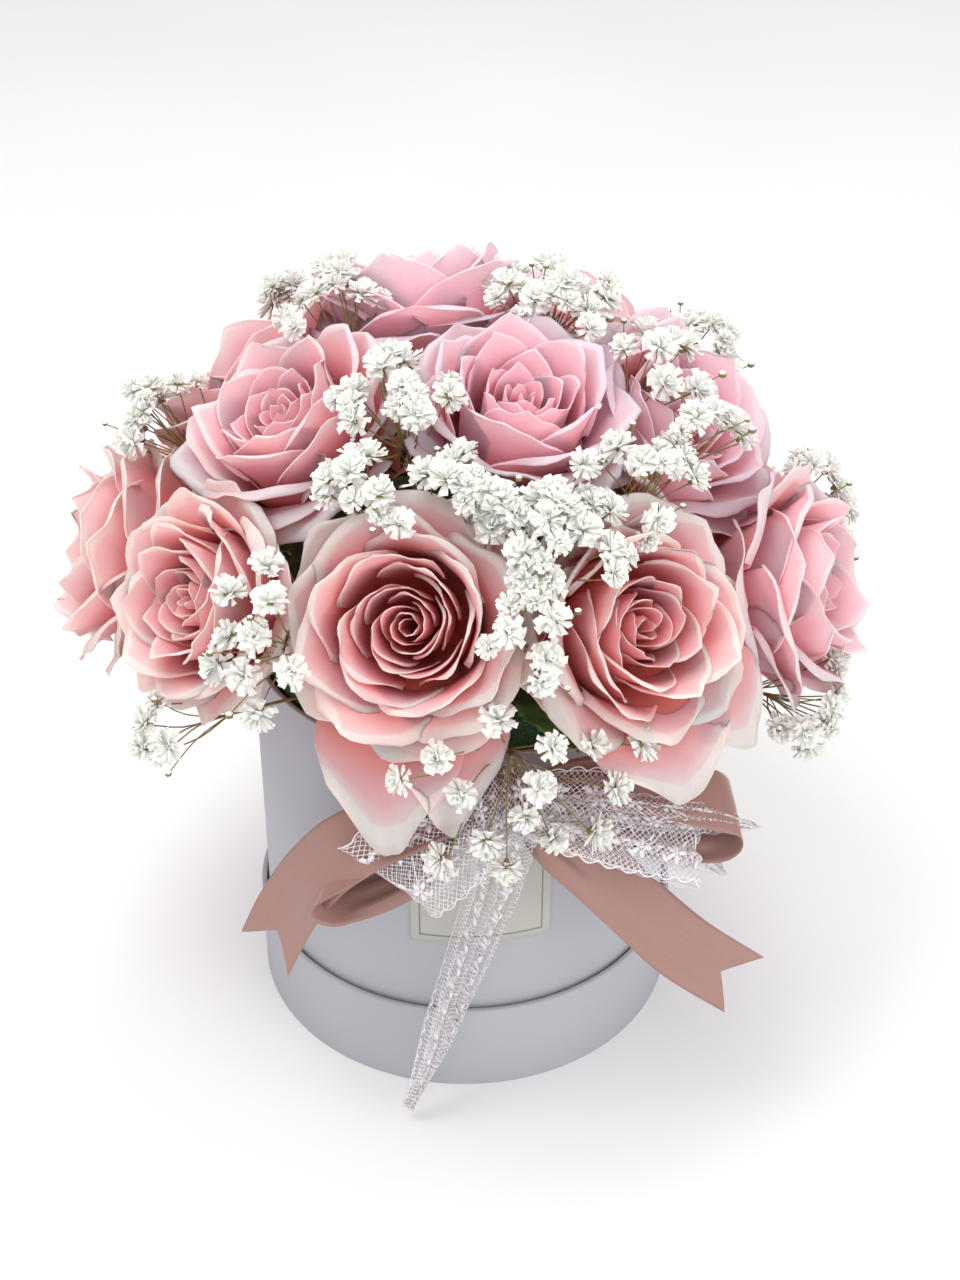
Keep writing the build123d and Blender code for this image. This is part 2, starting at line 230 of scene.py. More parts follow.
def add_tube(
    shape: bmesh.types.BMesh, line: Sequence[Vector], radii: Sequence[float], sides: int
) -> None:
    """Adds a closed tube that follows a line.

    Args:
        shape: The mesh to add to.
        line: The points that it follows.
        radii: Its radius at each point.
        sides: How many sides it has.
    """
    start = facing(line[0], line[1] - line[0])
    ring = bmesh.ops.create_circle(
        shape, cap_ends=False, radius=radii[0], segments=sides, matrix=start
    )["verts"]
    edges = list({edge for vertex in ring for edge in vertex.link_edges})
    bmesh.ops.contextual_create(shape, geom=edges)
    frame = start
    for number in range(1, len(line)):
        last = number == len(line) - 1
        ahead = line[number] if last else line[number + 1]
        step = facing(line[number], ahead - line[number - 1])
        change = step @ Matrix.Scale(radii[number] / radii[number - 1], 4) @ frame.inverted()
        made = bmesh.ops.extrude_edge_only(shape, edges=edges)["geom"]
        ring = [item for item in made if isinstance(item, bmesh.types.BMVert)]
        edges = [
            item
            for item in made
            if isinstance(item, bmesh.types.BMEdge) and all(v in ring for v in item.verts)
        ]
        bmesh.ops.transform(shape, matrix=change, verts=ring)
        frame = step
    bmesh.ops.contextual_create(shape, geom=edges)


def turned(shape: bmesh.types.BMesh, outline: Sequence[tuple[float, float]], steps: int) -> None:
    """Adds a closed ring spun about the box's axis.

    Args:
        shape: The mesh to add to.
        outline: The closed outline, as radius and height of each corner.
        steps: How many steps the full turn takes.
    """
    corners = [shape.verts.new((radius, 0.0, height)) for radius, height in outline]
    edges = [shape.edges.new((a, b)) for a, b in zip(corners, corners[1:] + corners[:1])]
    bmesh.ops.spin(
        shape,
        geom=corners + edges,
        cent=(0, 0, 0),
        axis=(0, 0, 1),
        angle=math.tau,
        steps=steps,
        use_merge=True,
    )
    bmesh.ops.recalc_face_normals(shape, faces=shape.faces)


def rounded(corners: Sequence[tuple[float, float]], radius: float) -> list[tuple[float, float]]:
    """A closed outline with each corner cut by two short edges.

    Args:
        corners: The sharp corners.
        radius: How far each cut reaches from its corner.

    Returns:
        The new corners.
    """
    result = []
    for number, corner in enumerate(corners):
        here = Vector(corner)
        before = Vector(corners[number - 1]) - here
        after = Vector(corners[(number + 1) % len(corners)]) - here
        reach = min(radius, 0.45 * before.length, 0.45 * after.length)
        start, end = here + before.normalized() * reach, here + after.normalized() * reach
        middle = (start + end) / 4 + here / 2
        result += [tuple(start), tuple(middle), tuple(end)]
    return result


def islands(node: bpy.types.Object) -> list[list[Vector]]:
    """The separate closed shapes of a CAD node.

    Args:
        node: The node's object.

    Returns:
        The corners of each shape, in millimetres.
    """
    shape = bmesh.new()
    shape.from_mesh(node.data)
    bmesh.ops.remove_doubles(shape, verts=shape.verts, dist=1e-6)
    left = set(shape.verts)
    found = []
    while left:
        wave = [left.pop()]
        group = []
        while wave:
            vertex = wave.pop()
            group.append(vertex.co / METRES)
            for edge in vertex.link_edges:
                other = edge.other_vert(vertex)
                if other in left:
                    left.discard(other)
                    wave.append(other)
        found.append(group)
    shape.free()
    return sorted(found, key=lambda group: tuple(round(c, 3) for c in middle_of(group)))


def middle_of(points: Iterable[Vector]) -> Vector:
    """The middle of the box around some points."""
    corners = list(points)
    low = Vector(min(p[axis] for p in corners) for axis in range(3))
    high = Vector(max(p[axis] for p in corners) for axis in range(3))
    return (low + high) / 2


def mean_of(points: Iterable[Vector]) -> Vector:
    """The mean of some points."""
    corners = list(points)
    return sum(corners, Vector()) / len(corners)


def finish_piece(
    shape: bmesh.types.BMesh,
    name: str,
    body: Body,
    slot: Slot,
    materials: Sequence[bpy.types.Material],
    stands_for: Sequence[str] = (),
    smooth: float = 180.0,
) -> bpy.types.Object:
    """Turns a finished shape into a piece that rides on its body.

    Args:
        shape: The shape, in millimetres. It is freed.
        name: The piece's name.
        body: The body that it rides on.
        slot: Not used.
        materials: Its materials, in the order that its faces number them.
        stands_for: The CAD nodes that it replaces.
        smooth: Edges sharper than this many degrees stay sharp.

    Returns:
        The new object.
    """
    bmesh.ops.scale(shape, vec=(METRES, METRES, METRES), verts=shape.verts)
    limit = math.radians(smooth)
    for face in shape.faces:
        face.smooth = True
    for edge in shape.edges:
        edge.smooth = edge.calc_face_angle(0.0) < limit
    mesh = bpy.data.meshes.new(name)
    shape.to_mesh(mesh)
    shape.free()
    for material in materials:
        mesh.materials.append(material)
    piece = bpy.data.objects.new(name, mesh)
    bpy.context.scene.collection.objects.link(piece)
    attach(piece, body.value)
    if stands_for:
        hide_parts(*stands_for)
    log.info("%s: %d faces", name, len(mesh.polygons))
    return piece


def thicken(piece: bpy.types.Object, thickness: float) -> None:
    """Gives a sheet its thickness, in millimetres, evenly on both sides."""
    solid = piece.modifiers.new("Thickness", "SOLIDIFY")
    solid.thickness = thickness * METRES
    solid.offset = 0.0
    solid.use_rim = True


# ---------------------------------------------------------------- finishes
class Shader:
    """A material under construction: its main shader and the nodes that feed it."""

    def __init__(self, name: str) -> None:
        """Starts a material with nothing but its main shader.

        Args:
            name: The material's name.
        """
        self.material = bpy.data.materials.new(name)
        self.material.use_nodes = True
        self.nodes = self.material.node_tree.nodes
        self.links = self.material.node_tree.links
        self.main = self.nodes["Principled BSDF"]

    def constants(self, **values: float | tuple[float, ...]) -> None:
        """Sets sockets of the main shader that are the same all over."""
        for socket, value in values.items():
            self.main.inputs[socket.replace("_", " ")].default_value = value

    def add(self, kind: str, **settings: object) -> bpy.types.Node:
        """Adds a node.

        Args:
            kind: The node's type, without its prefix.
            settings: Its properties, and the values of its sockets by name.

        Returns:
            The node.
        """
        node = self.nodes.new("ShaderNode" + kind)
        for key, value in settings.items():
            if hasattr(node, key):
                setattr(node, key, value)
            else:
                node.inputs[key.replace("_", " ")].default_value = value
        return node

    def place(self, scale: Sequence[float], uv: bool = False) -> bpy.types.NodeSocket:
        """A place on the piece, scaled for a pattern.

        Args:
            scale: The scale along each axis.
            uv: Whether the place is on the piece's own UV map.

        Returns:
            The vector socket.
        """
        source = self.add("TexCoord").outputs["UV" if uv else "Object"]
        mapping = self.add("Mapping", Scale=tuple(scale))
        self.links.new(source, mapping.inputs["Vector"])
        return mapping.outputs["Vector"]

    def noise(
        self, where: bpy.types.NodeSocket, scale: float, detail: float = 3.0
    ) -> bpy.types.NodeSocket:
        """A noise value at each place."""
        node = self.add("TexNoise", Scale=scale, Detail=detail)
        self.links.new(where, node.inputs["Vector"])
        return node.outputs["Fac"]

    def ramp(
        self, value: bpy.types.NodeSocket, stops: Sequence[tuple[float, Colour]]
    ) -> bpy.types.NodeSocket:
        """A colour for each value.

        Args:
            value: The value's socket.
            stops: Where each colour stands, from 0 to 1.

        Returns:
            The colour socket.
        """
        node = self.add("ValToRGB")
        elements = node.color_ramp.elements
        while len(elements) < len(stops):
            elements.new(1.0)
        for element, (position, colour) in zip(elements, stops):
            element.position = position
            element.color = (*colour, 1.0)
        self.links.new(value, node.inputs["Fac"])
        return node.outputs["Color"]

    def mix(
        self,
        share: bpy.types.NodeSocket | float,
        first: bpy.types.NodeSocket | Colour,
        second: bpy.types.NodeSocket | Colour,
    ) -> bpy.types.NodeSocket:
        """A mix of two colours."""
        node = self.add("Mix", data_type="RGBA")
        slots = (node.inputs[0], node.inputs[6], node.inputs[7])
        for slot, value in zip(slots, (share, first, second)):
            if isinstance(value, bpy.types.NodeSocket):
                self.links.new(value, slot)
            else:
                slot.default_value = value if isinstance(value, float) else (*value, 1.0)
        return node.outputs[2]

    def sum(
        self, operation: str, first: bpy.types.NodeSocket, second: bpy.types.NodeSocket | float
    ) -> bpy.types.NodeSocket:
        """A sum of two values, such as ADD or MULTIPLY, kept between 0 and 1."""
        node = self.add("Math", operation=operation, use_clamp=True)
        self.links.new(first, node.inputs[0])
        if isinstance(second, bpy.types.NodeSocket):
            self.links.new(second, node.inputs[1])
        else:
            node.inputs[1].default_value = second
        return node.outputs[0]

    def attribute(self, name: str) -> bpy.types.NodeSocket:
        """The value that each corner of the piece carries under a name."""
        return self.add("Attribute", attribute_name=name).outputs["Fac"]

    def relief(self, height: bpy.types.NodeSocket, depth: float, strength: float = 1.0) -> None:
        """Makes the surface rise and fall with a value.

        Args:
            height: The value.
            depth: How far it rises at 1, in millimetres.
            strength: How much of that shows.
        """
        node = self.add("Bump", Strength=strength, Distance=depth * METRES)
        self.links.new(height, node.inputs["Height"])
        self.links.new(node.outputs["Normal"], self.main.inputs["Normal"])

    def colour(self, socket: bpy.types.NodeSocket) -> None:
        """Gives the main shader its colour."""
        self.links.new(socket, self.main.inputs["Base Color"])

    def roughness(self, value: bpy.types.NodeSocket, low: float, high: float) -> None:
        """Varies the roughness between two values."""
        node = self.add("MapRange", To_Min=low, To_Max=high)
        self.links.new(value, node.inputs["Value"])
        self.links.new(node.outputs["Result"], self.main.inputs["Roughness"])


@dataclass(frozen=True)
class PaperFinish:
    """Matt paper or board: a fine grain and a slight unevenness of colour."""

    name: str
    light: Colour
    dark: Colour
    grain: float = 900.0
    depth: float = 0.03
    rough: float = 0.62

    def make(self) -> bpy.types.Material:
        """The material."""
        shader = Shader(self.name)
        shader.constants(Specular_IOR_Level=0.35)
        where = shader.place((1, 1, 1))
        fibres = shader.noise(where, self.grain, 4.0)
        clouds = shader.noise(where, 14.0, 2.0)
        tone = shader.mix(0.25, clouds, fibres)
        shader.colour(shader.ramp(tone, [(0.3, self.dark), (0.7, self.light)]))
        shader.roughness(fibres, self.rough - 0.06, self.rough + 0.08)
        shader.relief(fibres, self.depth, 0.5)
        return shader.material


@dataclass(frozen=True)
class PetalFinish:
    """Rose petal: coral where it is deep, pink, then pale at the rolled rim, whose very edge is
    partly a painted highlight, with fine veins.

    The carried values are depth, 0 at a petal's foot and 1 at its rim, and age, 0 in the heart of the
    rose and 1 outside. A third value is higher on the upper roses. It makes their petals paler and
    cooler pink towards the rim, partly their own cooler colour and partly painted light from above.
    """

    heart: Colour = srgb(255, 104, 86)
    coral: Colour = srgb(253, 104, 98)
    pink: Colour = srgb(246, 150, 158)
    pale: Colour = srgb(250, 194, 196)
    # Palest cream at the very edge of the rolled rim: partly the petal's paler edge, partly a painted
    # highlight.
    rim: Colour = srgb(253, 224, 215)
    cream: Colour = srgb(246, 198, 194)
    # Pale cool pink for the rims of the upper roses: partly their own colour, partly painted light
    # from above.
    cool_pink_and_top_light: Colour = srgb(255, 208, 226)

    def make(self) -> bpy.types.Material:
        """The material."""
        shader = Shader("rose_petal")
        shader.constants(
            Roughness=0.5,
            Specular_IOR_Level=0.24,
            Sheen_Weight=0.12,
            Sheen_Roughness=0.4,
            Sheen_Tint=(1.0, 0.86, 0.88, 1.0),
            Subsurface_Weight=0.7,
            Subsurface_Radius=(1.0, 0.42, 0.38),
            Subsurface_Scale=0.006,
        )
        where = shader.place((1, 1, 1))
        blotch = shader.noise(where, 55.0, 2.0)
        veins = shader.noise(shader.place((46, 1.6, 1), uv=True), 1.0, 3.0)
        depth = shader.attribute("depth")
        age = shader.attribute("age")
        shifted = shader.sum("ADD", depth, shader.sum("MULTIPLY", age, 0.08))
        uneven = shader.sum("ADD", shifted, shader.sum("MULTIPLY", blotch, 0.12))
        young = shader.ramp(
            uneven,
            [
                (0.30, self.heart),
                (0.62, self.coral),
                (0.86, self.pink),
                (0.98, self.pale),
                # the very edge: partly the petal's paler edge, partly a painted highlight
                (1.0, self.rim),
            ],
        )
        faded = shader.sum("MULTIPLY", age, shader.sum("MULTIPLY", depth, 0.28))
        warm = shader.mix(faded, young, self.cream)
        # Painted light: towards the rim the upper roses turn paler and cooler. This is partly their
        # own cooler pink and partly painted light from above.
        near_rim = shader.sum("MULTIPLY", depth, 0.9)
        cool_tint_and_top_light = shader.sum("MULTIPLY", shader.attribute("cool_tint_and_top_light"), near_rim)
        tinted = shader.mix(cool_tint_and_top_light, warm, self.cool_pink_and_top_light)
        veined = shader.mix(shader.sum("MULTIPLY", veins, 0.16), tinted, self.coral)
        shader.colour(veined)
        shader.relief(veins, 0.25, 0.35)
        return shader.material


@dataclass(frozen=True)
class SoftFinish:
    """A plain soft surface, such as a blossom or a stem, that varies between two colours."""

    name: str
    light: Colour
    dark: Colour
    scale: float = 260.0
    rough: float = 0.55
    subsurface: float = 0.0
    depth: float = 0.15

    def make(self) -> bpy.types.Material:
        """The material."""
        shader = Shader(self.name)
        shader.constants(
            Specular_IOR_Level=0.35,
            Subsurface_Weight=self.subsurface,
            Subsurface_Radius=(1.0, 0.9, 0.7),
            Subsurface_Scale=0.0015,
        )
        tone = shader.noise(shader.place((1, 1, 1)), self.scale, 3.0)
        shader.colour(shader.ramp(tone, [(0.32, self.dark), (0.68, self.light)]))
        shader.roughness(tone, self.rough - 0.07, self.rough + 0.1)
        shader.relief(tone, self.depth, 0.5)
        return shader.material


@dataclass(frozen=True)
class SatinFinish:
    """Satin ribbon: fine threads across its width and a soft sheen."""

    light: Colour = srgb(168, 130, 122)
    dark: Colour = srgb(158, 119, 111)

    def make(self) -> bpy.types.Material:
        """The material."""
        shader = Shader("satin_ribbon")
        shader.constants(
            Specular_IOR_Level=0.4,
            Anisotropic=0.5,
            Sheen_Weight=0.5,
            Sheen_Roughness=0.35,
            Sheen_Tint=(1.0, 0.88, 0.84, 1.0),
        )
        threads = shader.noise(shader.place((10, 900, 1), uv=True), 1.0, 2.0)
        cords = shader.noise(shader.place((30, 2, 1), uv=True), 1.0, 2.0)
        weave = shader.mix(0.35, threads, cords)
        shader.colour(shader.ramp(weave, [(0.3, self.dark), (0.7, self.light)]))
        shader.roughness(weave, 0.36, 0.46)
        shader.relief(weave, 0.03, 0.25)
        return shader.material


# ---------------------------------------------------------------- box, lid and label
@dataclass
class PaperBox:
    """The board box in its upturned lid, covered in paper, with a bare label."""

    paper: bpy.types.Material
    label_paper: bpy.types.Material
    label_ink: bpy.types.Material
    wall: float = 2.2  # board and paper together
    paper_thickness: float = 0.3
    paper_edge: float = 0.7  # how far its edges are rounded
    lid_turn_in: float = 12.0
    box_turn_in: float = 15.0
    steps: int = 160
    card: float = 0.4
    border_inset: float = 3.4
    border_width: float = 0.55
    border_rise: float = 0.05
    border_thickness: float = 0.1

    def covering(self, node: str, turn_in: float, body: Body) -> bpy.types.Object:
        """The paper over a round wall, from its foot up over the rim and down inside.

        Args:
            node: The CAD node that it replaces.
            turn_in: How far the paper reaches down inside.
            body: The body that it rides on.

        Returns:
            The piece.
        """
        low, high = (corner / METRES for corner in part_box(node))
        outer, paper = high.x, self.paper_thickness
        inner = outer - self.wall
        outline = [
            (outer - paper, low.z),
            (outer, low.z),
            (outer, high.z),
            (inner, high.z),
            (inner, high.z - turn_in),
            (inner + paper, high.z - turn_in),
            (inner + paper, high.z - paper),
            (outer - paper, high.z - paper),
        ]
        shape = new_shape()
        turned(shape, rounded(outline, self.paper_edge), self.steps)
        return finish_piece(
            shape, f"{node}_paper", body, Slot.PAPER, [self.paper], [node], smooth=60
        )

    def on_wall(self, radius: float, across: float, height: float) -> Vector:
        """A point on the front of a round wall, a distance across it from the middle."""
        turn = across / radius
        return Vector((radius * math.sin(turn), -radius * math.cos(turn), height))

    def label(self) -> bpy.types.Object:
        """The bare label card, bent round the box."""
        low, high = (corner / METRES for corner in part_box("label_card"))
        radius = -low.y
        half = (high.x - low.x) / 2

        def card(u: float, s: float) -> Vector:
            """A point on the card."""
            return self.on_wall(radius, u * half, blend(low.z, high.z, s))

        shape = new_shape()
        add_sheet(shape, 40, 10, card)
        piece = finish_piece(
            shape, "label", Body.BOX, Slot.LABEL, [self.label_paper], ["label_card"]
        )
        thicken(piece, self.card)
        return piece

    def border(self) -> bpy.types.Object:
        """The thin line printed inside the edge of the label."""
        low, high = (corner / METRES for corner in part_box("label_card"))
        radius = -low.y + self.card / 2 + self.border_rise
        left, right = low.x + self.border_inset, high.x - self.border_inset
        foot, top = low.z + self.border_inset, high.z - self.border_inset
        line = self.border_width
        strips = (
            (left, right, foot, foot + line, 40, 1),
            (left, right, top - line, top, 40, 1),
            (left, left + line, foot + line, top - line, 1, 10),
            (right - line, right, foot + line, top - line, 1, 10),
        )
        shape = new_shape()
        for start, end, lower, upper, columns, rows in strips:

            def strip(u: float, s: float) -> Vector:
                """A point on one side of the border."""
                across = blend(start, end, (u + 1) / 2)
                return self.on_wall(radius, across, blend(lower, upper, s))

            add_sheet(shape, columns, rows, strip)
        piece = finish_piece(shape, "label_border", Body.BOX, Slot.LABEL, [self.label_ink])
        thicken(piece, self.border_thickness)
        return piece

    def build(self) -> None:
        """Makes the coverings and the label."""
        self.covering("lid_wrap", self.lid_turn_in, Body.TRAY)
        self.covering("box_wrap", self.box_turn_in, Body.BOX)
        self.label()
        self.border()


# ---------------------------------------------------------------- roses
@dataclass(frozen=True)
class PetalCut:
    """One petal, in millimetres and degrees, in the frame of its rose, whose face looks along Z."""

    azimuth: float
    foot: tuple[float, float]  # radius and height where it grows
    belly: tuple[float, float]  # where it swells out
    rim: tuple[float, float]  # where its rim starts to roll
    lean: float  # from the rose's axis, at the rim
    wrap: float  # half of the way that it reaches round
    flat: float  # 1 bends with the rose, and more is flatter
    roll: float  # how far the rim rolls back
    roll_radius: float
    spiral: float  # how much one side stands outside the other
    tip: float  # how far the rim's middle stands up as a point
    drop: float  # how much lower the rim is at its sides
    ruffle: float
    seed: float
    body_share: float = 0.62  # of the rows, the rest being the rolled rim
    body_depth: float = 0.88  # the depth that the body reaches, the rest being the rolled rim's

    def depth(self, s: float) -> float:
        """How far up the petal a place is, where the rolled rim is the last tenth."""
        if s < self.body_share:
            return self.body_depth * s / self.body_share
        rolled = (s - self.body_share) / (1 - self.body_share)
        return blend(self.body_depth, 1.0, rolled)

    def point(self, u: float, s: float) -> Vector:
        """A point on the petal.

        Args:
            u: The place across, from -1 to 1.
            s: The place along, from the foot at 0 to the rim at 1.

        Returns:
            The point in the rose's frame.
        """
        side = abs(u)
        reach = 1.0 - self.drop * side**2.3 + self.tip * bump(u, 0.13)
        along = min(s / self.body_share, 1.0) * reach
        lean = math.radians(self.lean)
        handle = 0.38 * (self.rim[1] - self.foot[1] + self.rim[0] - self.foot[0])
        points = (
            Vector((*self.foot, 0.0)),
            Vector((*self.belly, 0.0)),
            Vector(
                (self.rim[0] - handle * math.sin(lean), self.rim[1] - handle * math.cos(lean), 0.0)
            ),
            Vector((*self.rim, 0.0)),
        )
        spot = bezier(points, min(along, 1.08))
        radius, height = spot.x, spot.y
        if s > self.body_share:
            ahead = bezier(points, reach + 0.01) - bezier(points, reach - 0.01)
            start = math.atan2(ahead.x, ahead.y)
            share = (s - self.body_share) / (1 - self.body_share)
            pinch = 1.0 - 0.55 * bump(u, 0.16) + 0.25 * side**3
            turn = math.radians(self.roll) * pinch * share
            radius += self.roll_radius * (math.cos(start) - math.cos(start + turn))
            height += self.roll_radius * (math.sin(start + turn) - math.sin(start))
        full = min(1.0, 0.5 + 0.8 * along)
        wave = self.ruffle * s * s
        height += wave * noise.noise(Vector((2.2 * u, 1.5 * s, self.seed)))
        radius += wave * noise.noise(Vector((2.6 * u, 1.2 * s, self.seed + 31.0)))
        radius *= 1.0 + self.spiral * u
        bend = radius * self.flat
        turn = math.radians(self.wrap) / self.flat * u * full
        x = radius + bend * (math.cos(turn) - 1.0)
        y = bend * math.sin(turn)
        angle = math.radians(self.azimuth)
        cosine, sine = math.cos(angle), math.sin(angle)
        return Vector((x * cosine - y * sine, x * sine + y * cosine, height))


@dataclass(frozen=True)
class Whorl:
    """A run of petals whose shape changes evenly from the first to the last."""

    count: int
    rim_radius: tuple[float, float]
    rim_height: tuple[float, float]
    lean: tuple[float, float]
    wrap: tuple[float, float]
    flat: tuple[float, float]
    roll: tuple[float, float]
    roll_radius: tuple[float, float]
    belly: float  # the belly's radius, as a share of the rim's
    spiral: float
    tip: float
    drop: float
    ruffle: float
    jitter: float


WHORLS = (
    Whorl(
        count=6, rim_radius=(2.0, 7.0), rim_height=(40, 41), lean=(-4, 2), wrap=(88, 78),
        flat=(1.0, 1.0), roll=(20, 35), roll_radius=(0.5, 0.6), belly=1.1, spiral=0.2, tip=0.02,
        drop=0.2, ruffle=0.8, jitter=6,
    ),
    Whorl(
        count=9, rim_radius=(8.5, 16), rim_height=(41.5, 44), lean=(2, 8), wrap=(70, 58),
        flat=(1.0, 1.0), roll=(35, 55), roll_radius=(0.6, 0.8), belly=1.12, spiral=0.13, tip=0.03,
        drop=0.22, ruffle=1.4, jitter=10,
    ),
    Whorl(
        count=9, rim_radius=(18, 27.5), rim_height=(47.5, 46), lean=(8, 26), wrap=(58, 54),
        flat=(1.03, 1.12), roll=(55, 75), roll_radius=(1.0, 1.6), belly=1.08, spiral=0.07, tip=0.04,
        drop=0.24, ruffle=2.4, jitter=12,
    ),
    Whorl(
        count=7, rim_radius=(30, 36), rim_height=(43, 37), lean=(34, 58), wrap=(52, 48),
        flat=(1.15, 1.3), roll=(80, 85), roll_radius=(2.0, 2.8), belly=0.92, spiral=0.04, tip=0.035,
        drop=0.24, ruffle=3.4, jitter=12,
    ),
    Whorl(
        count=6, rim_radius=(36.5, 38.5), rim_height=(33, 24), lean=(66, 88), wrap=(48, 46),
        flat=(1.3, 1.45), roll=(75, 55), roll_radius=(3.2, 3.8), belly=0.78, spiral=0.03, tip=0.04,
        drop=0.24, ruffle=4.4, jitter=12,
    ),
)


@dataclass(frozen=True)
class RoseHabit:
    """How one rose differs from the others."""

    turn: float = 0.0
    # How far the rose turns paler and cooler towards its rims: partly its own cooler pink, partly
    # painted light from above.
    cool_tint_and_top_light: float = 0.0
    age: float = 0.0  # paler and creamier outside
    open: float = 1.0  # below 1 its petals stand closer
    heart_drop: float = 0.0  # how much lower the heart lies
    size: float = 1.06
    nudge: tuple[float, float, float] = (0.0, 0.0, 0.0)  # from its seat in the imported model
    look: tuple[float, float, float] = (0.0, 0.0, 0.0)  # added to the way that it looks


@dataclass(frozen=True)
class HangingPetal:
    """A long outer petal that hangs from under a rose, in millimetres in the frame of the box."""

    foot: Vector
    shoulder: Vector  # where it bends down
    knee: Vector
    tip: Vector
    outward: Vector  # the side that it shows
    width: float
    cup: float = 5.0  # how far its sides stand back from its middle
    roll: float = 3.0
    seed: float = 0.0

    def depth(self, s: float) -> float:
        """How far along the petal a place is."""
        return s

    def point(self, u: float, s: float) -> Vector:
        """A point on the petal, for a place across from -1 to 1 and along from 0 to 1."""
        reach = 1.0 - 0.30 * abs(u) ** 2.3 + 0.02 * bump(u, 0.15)
        line = (self.foot, self.shoulder, self.knee, self.tip)
        along = min(s * reach, 1.0)
        spot = bezier(line, along)
        tangent = bezier(line, min(along + 0.02, 1.02)) - bezier(line, along - 0.02)
        across = tangent.cross(self.outward).normalized()
        front = across.cross(tangent).normalized()
        spread = 0.30 + 0.70 * ease(0.0, 0.45, along)
        narrowing = 1.0 - 0.5 * ease(0.45, 1, along)
        half = self.width / 2 * spread * narrowing
        wave = noise.noise(Vector((2.0 * u, 2.4 * s, self.seed)))
        cupped = self.cup * u * u * ease(0.1, 0.6, along)
        back = self.roll * ease(0.86, 1.0, s) + 2.6 * wave * s - cupped
        return spot + across * (half * u) + front * back


@dataclass
class Rose:
    """One open rose: an inner spiral, a cup and outer petals with rolled, pointed rims."""

    name: str
    seat: Vector
    way: Vector
    habit: RoseHabit
    material: bpy.types.Material
    hanging: Sequence[HangingPetal] = ()
    columns: int = 18
    rows: int = 13
    petal_thickness: float = 0.34

    def cuts(self) -> list[PetalCut]:
        """The petals, from the heart outwards."""
        picker = random.Random(self.name)
        made = []
        azimuth = self.habit.turn
        spread = self.habit.open
        for order, whorl in enumerate(WHORLS):
            for number in range(whorl.count):
                share = number / max(whorl.count - 1, 1)
                azimuth += 137.5 + picker.uniform(-whorl.jitter, whorl.jitter)
                radius = blend(*whorl.rim_radius, share) * blend(1.0, spread, order / 4)
                radius *= 1.0 + picker.uniform(-0.03, 0.03)
                height = blend(*whorl.rim_height, share) + picker.uniform(-0.3, 0.3) * order
                height += (1.0 - spread) * 26.0 * (order / 4) ** 2
                height -= self.habit.heart_drop * (1.0 if order < 2 else 0.0)
                lean = blend(*whorl.lean, share) * blend(1.0, spread, 0.8)
                made.append(
                    PetalCut(
                        azimuth=azimuth,
                        foot=(1.2 + 0.13 * radius, 5.0 - 0.09 * radius),
                        belly=(radius * whorl.belly, 0.20 * height + 1.0),
                        rim=(radius, height),
                        lean=lean + picker.uniform(-3, 3),
                        wrap=blend(*whorl.wrap, share),
                        flat=blend(*whorl.flat, share),
                        roll=blend(*whorl.roll, share) * picker.uniform(0.8, 1.15),
                        roll_radius=blend(*whorl.roll_radius, share) * picker.uniform(0.85, 1.15),
                        spiral=whorl.spiral,
                        tip=whorl.tip * picker.uniform(0.6, 1.3),
                        drop=whorl.drop * picker.uniform(0.8, 1.2),
                        ruffle=whorl.ruffle,
                        seed=picker.uniform(0, 90),
                    )
                )
        return made

    def build(self) -> bpy.types.Object:
        """The rose as one piece."""
        shape = new_shape()
        depth = shape.verts.layers.float.new("depth")
        age = shape.verts.layers.float.new("age")
        cool_tint_and_top_light = shape.verts.layers.float.new("cool_tint_and_top_light")
        seat = self.seat + Vector(self.habit.nudge)
        way = (self.way + Vector(self.habit.look)).normalized()
        frame = facing(seat, way) @ Matrix.Scale(self.habit.size, 4)
        cuts = self.cuts()
        petals = [(cut, frame, number / len(cuts)) for number, cut in enumerate(cuts)]
        petals += [(petal, Matrix.Identity(4), 1.15) for petal in self.hanging]
        for petal, home, years in petals:
            grid = bmesh.ops.create_grid(
                shape, x_segments=self.columns, y_segments=self.rows, size=0.5, calc_uvs=True
            )
            for vertex in grid["verts"]:
                u, s = 2 * vertex.co.x, vertex.co.y + 0.5
                vertex[depth] = petal.depth(s)
                vertex[age] = clamp(years**1.5 + self.habit.age * years)
                vertex[cool_tint_and_top_light] = self.habit.cool_tint_and_top_light
                vertex.co = home @ petal.point(u, s)
        piece = finish_piece(
            shape,
            f"petals_{self.name}",
            Body.ARRANGEMENT,
            Slot.PETAL,
            [self.material],
            [f"rose_{self.name}"],
        )
        thicken(piece, self.petal_thickness)
        return piece


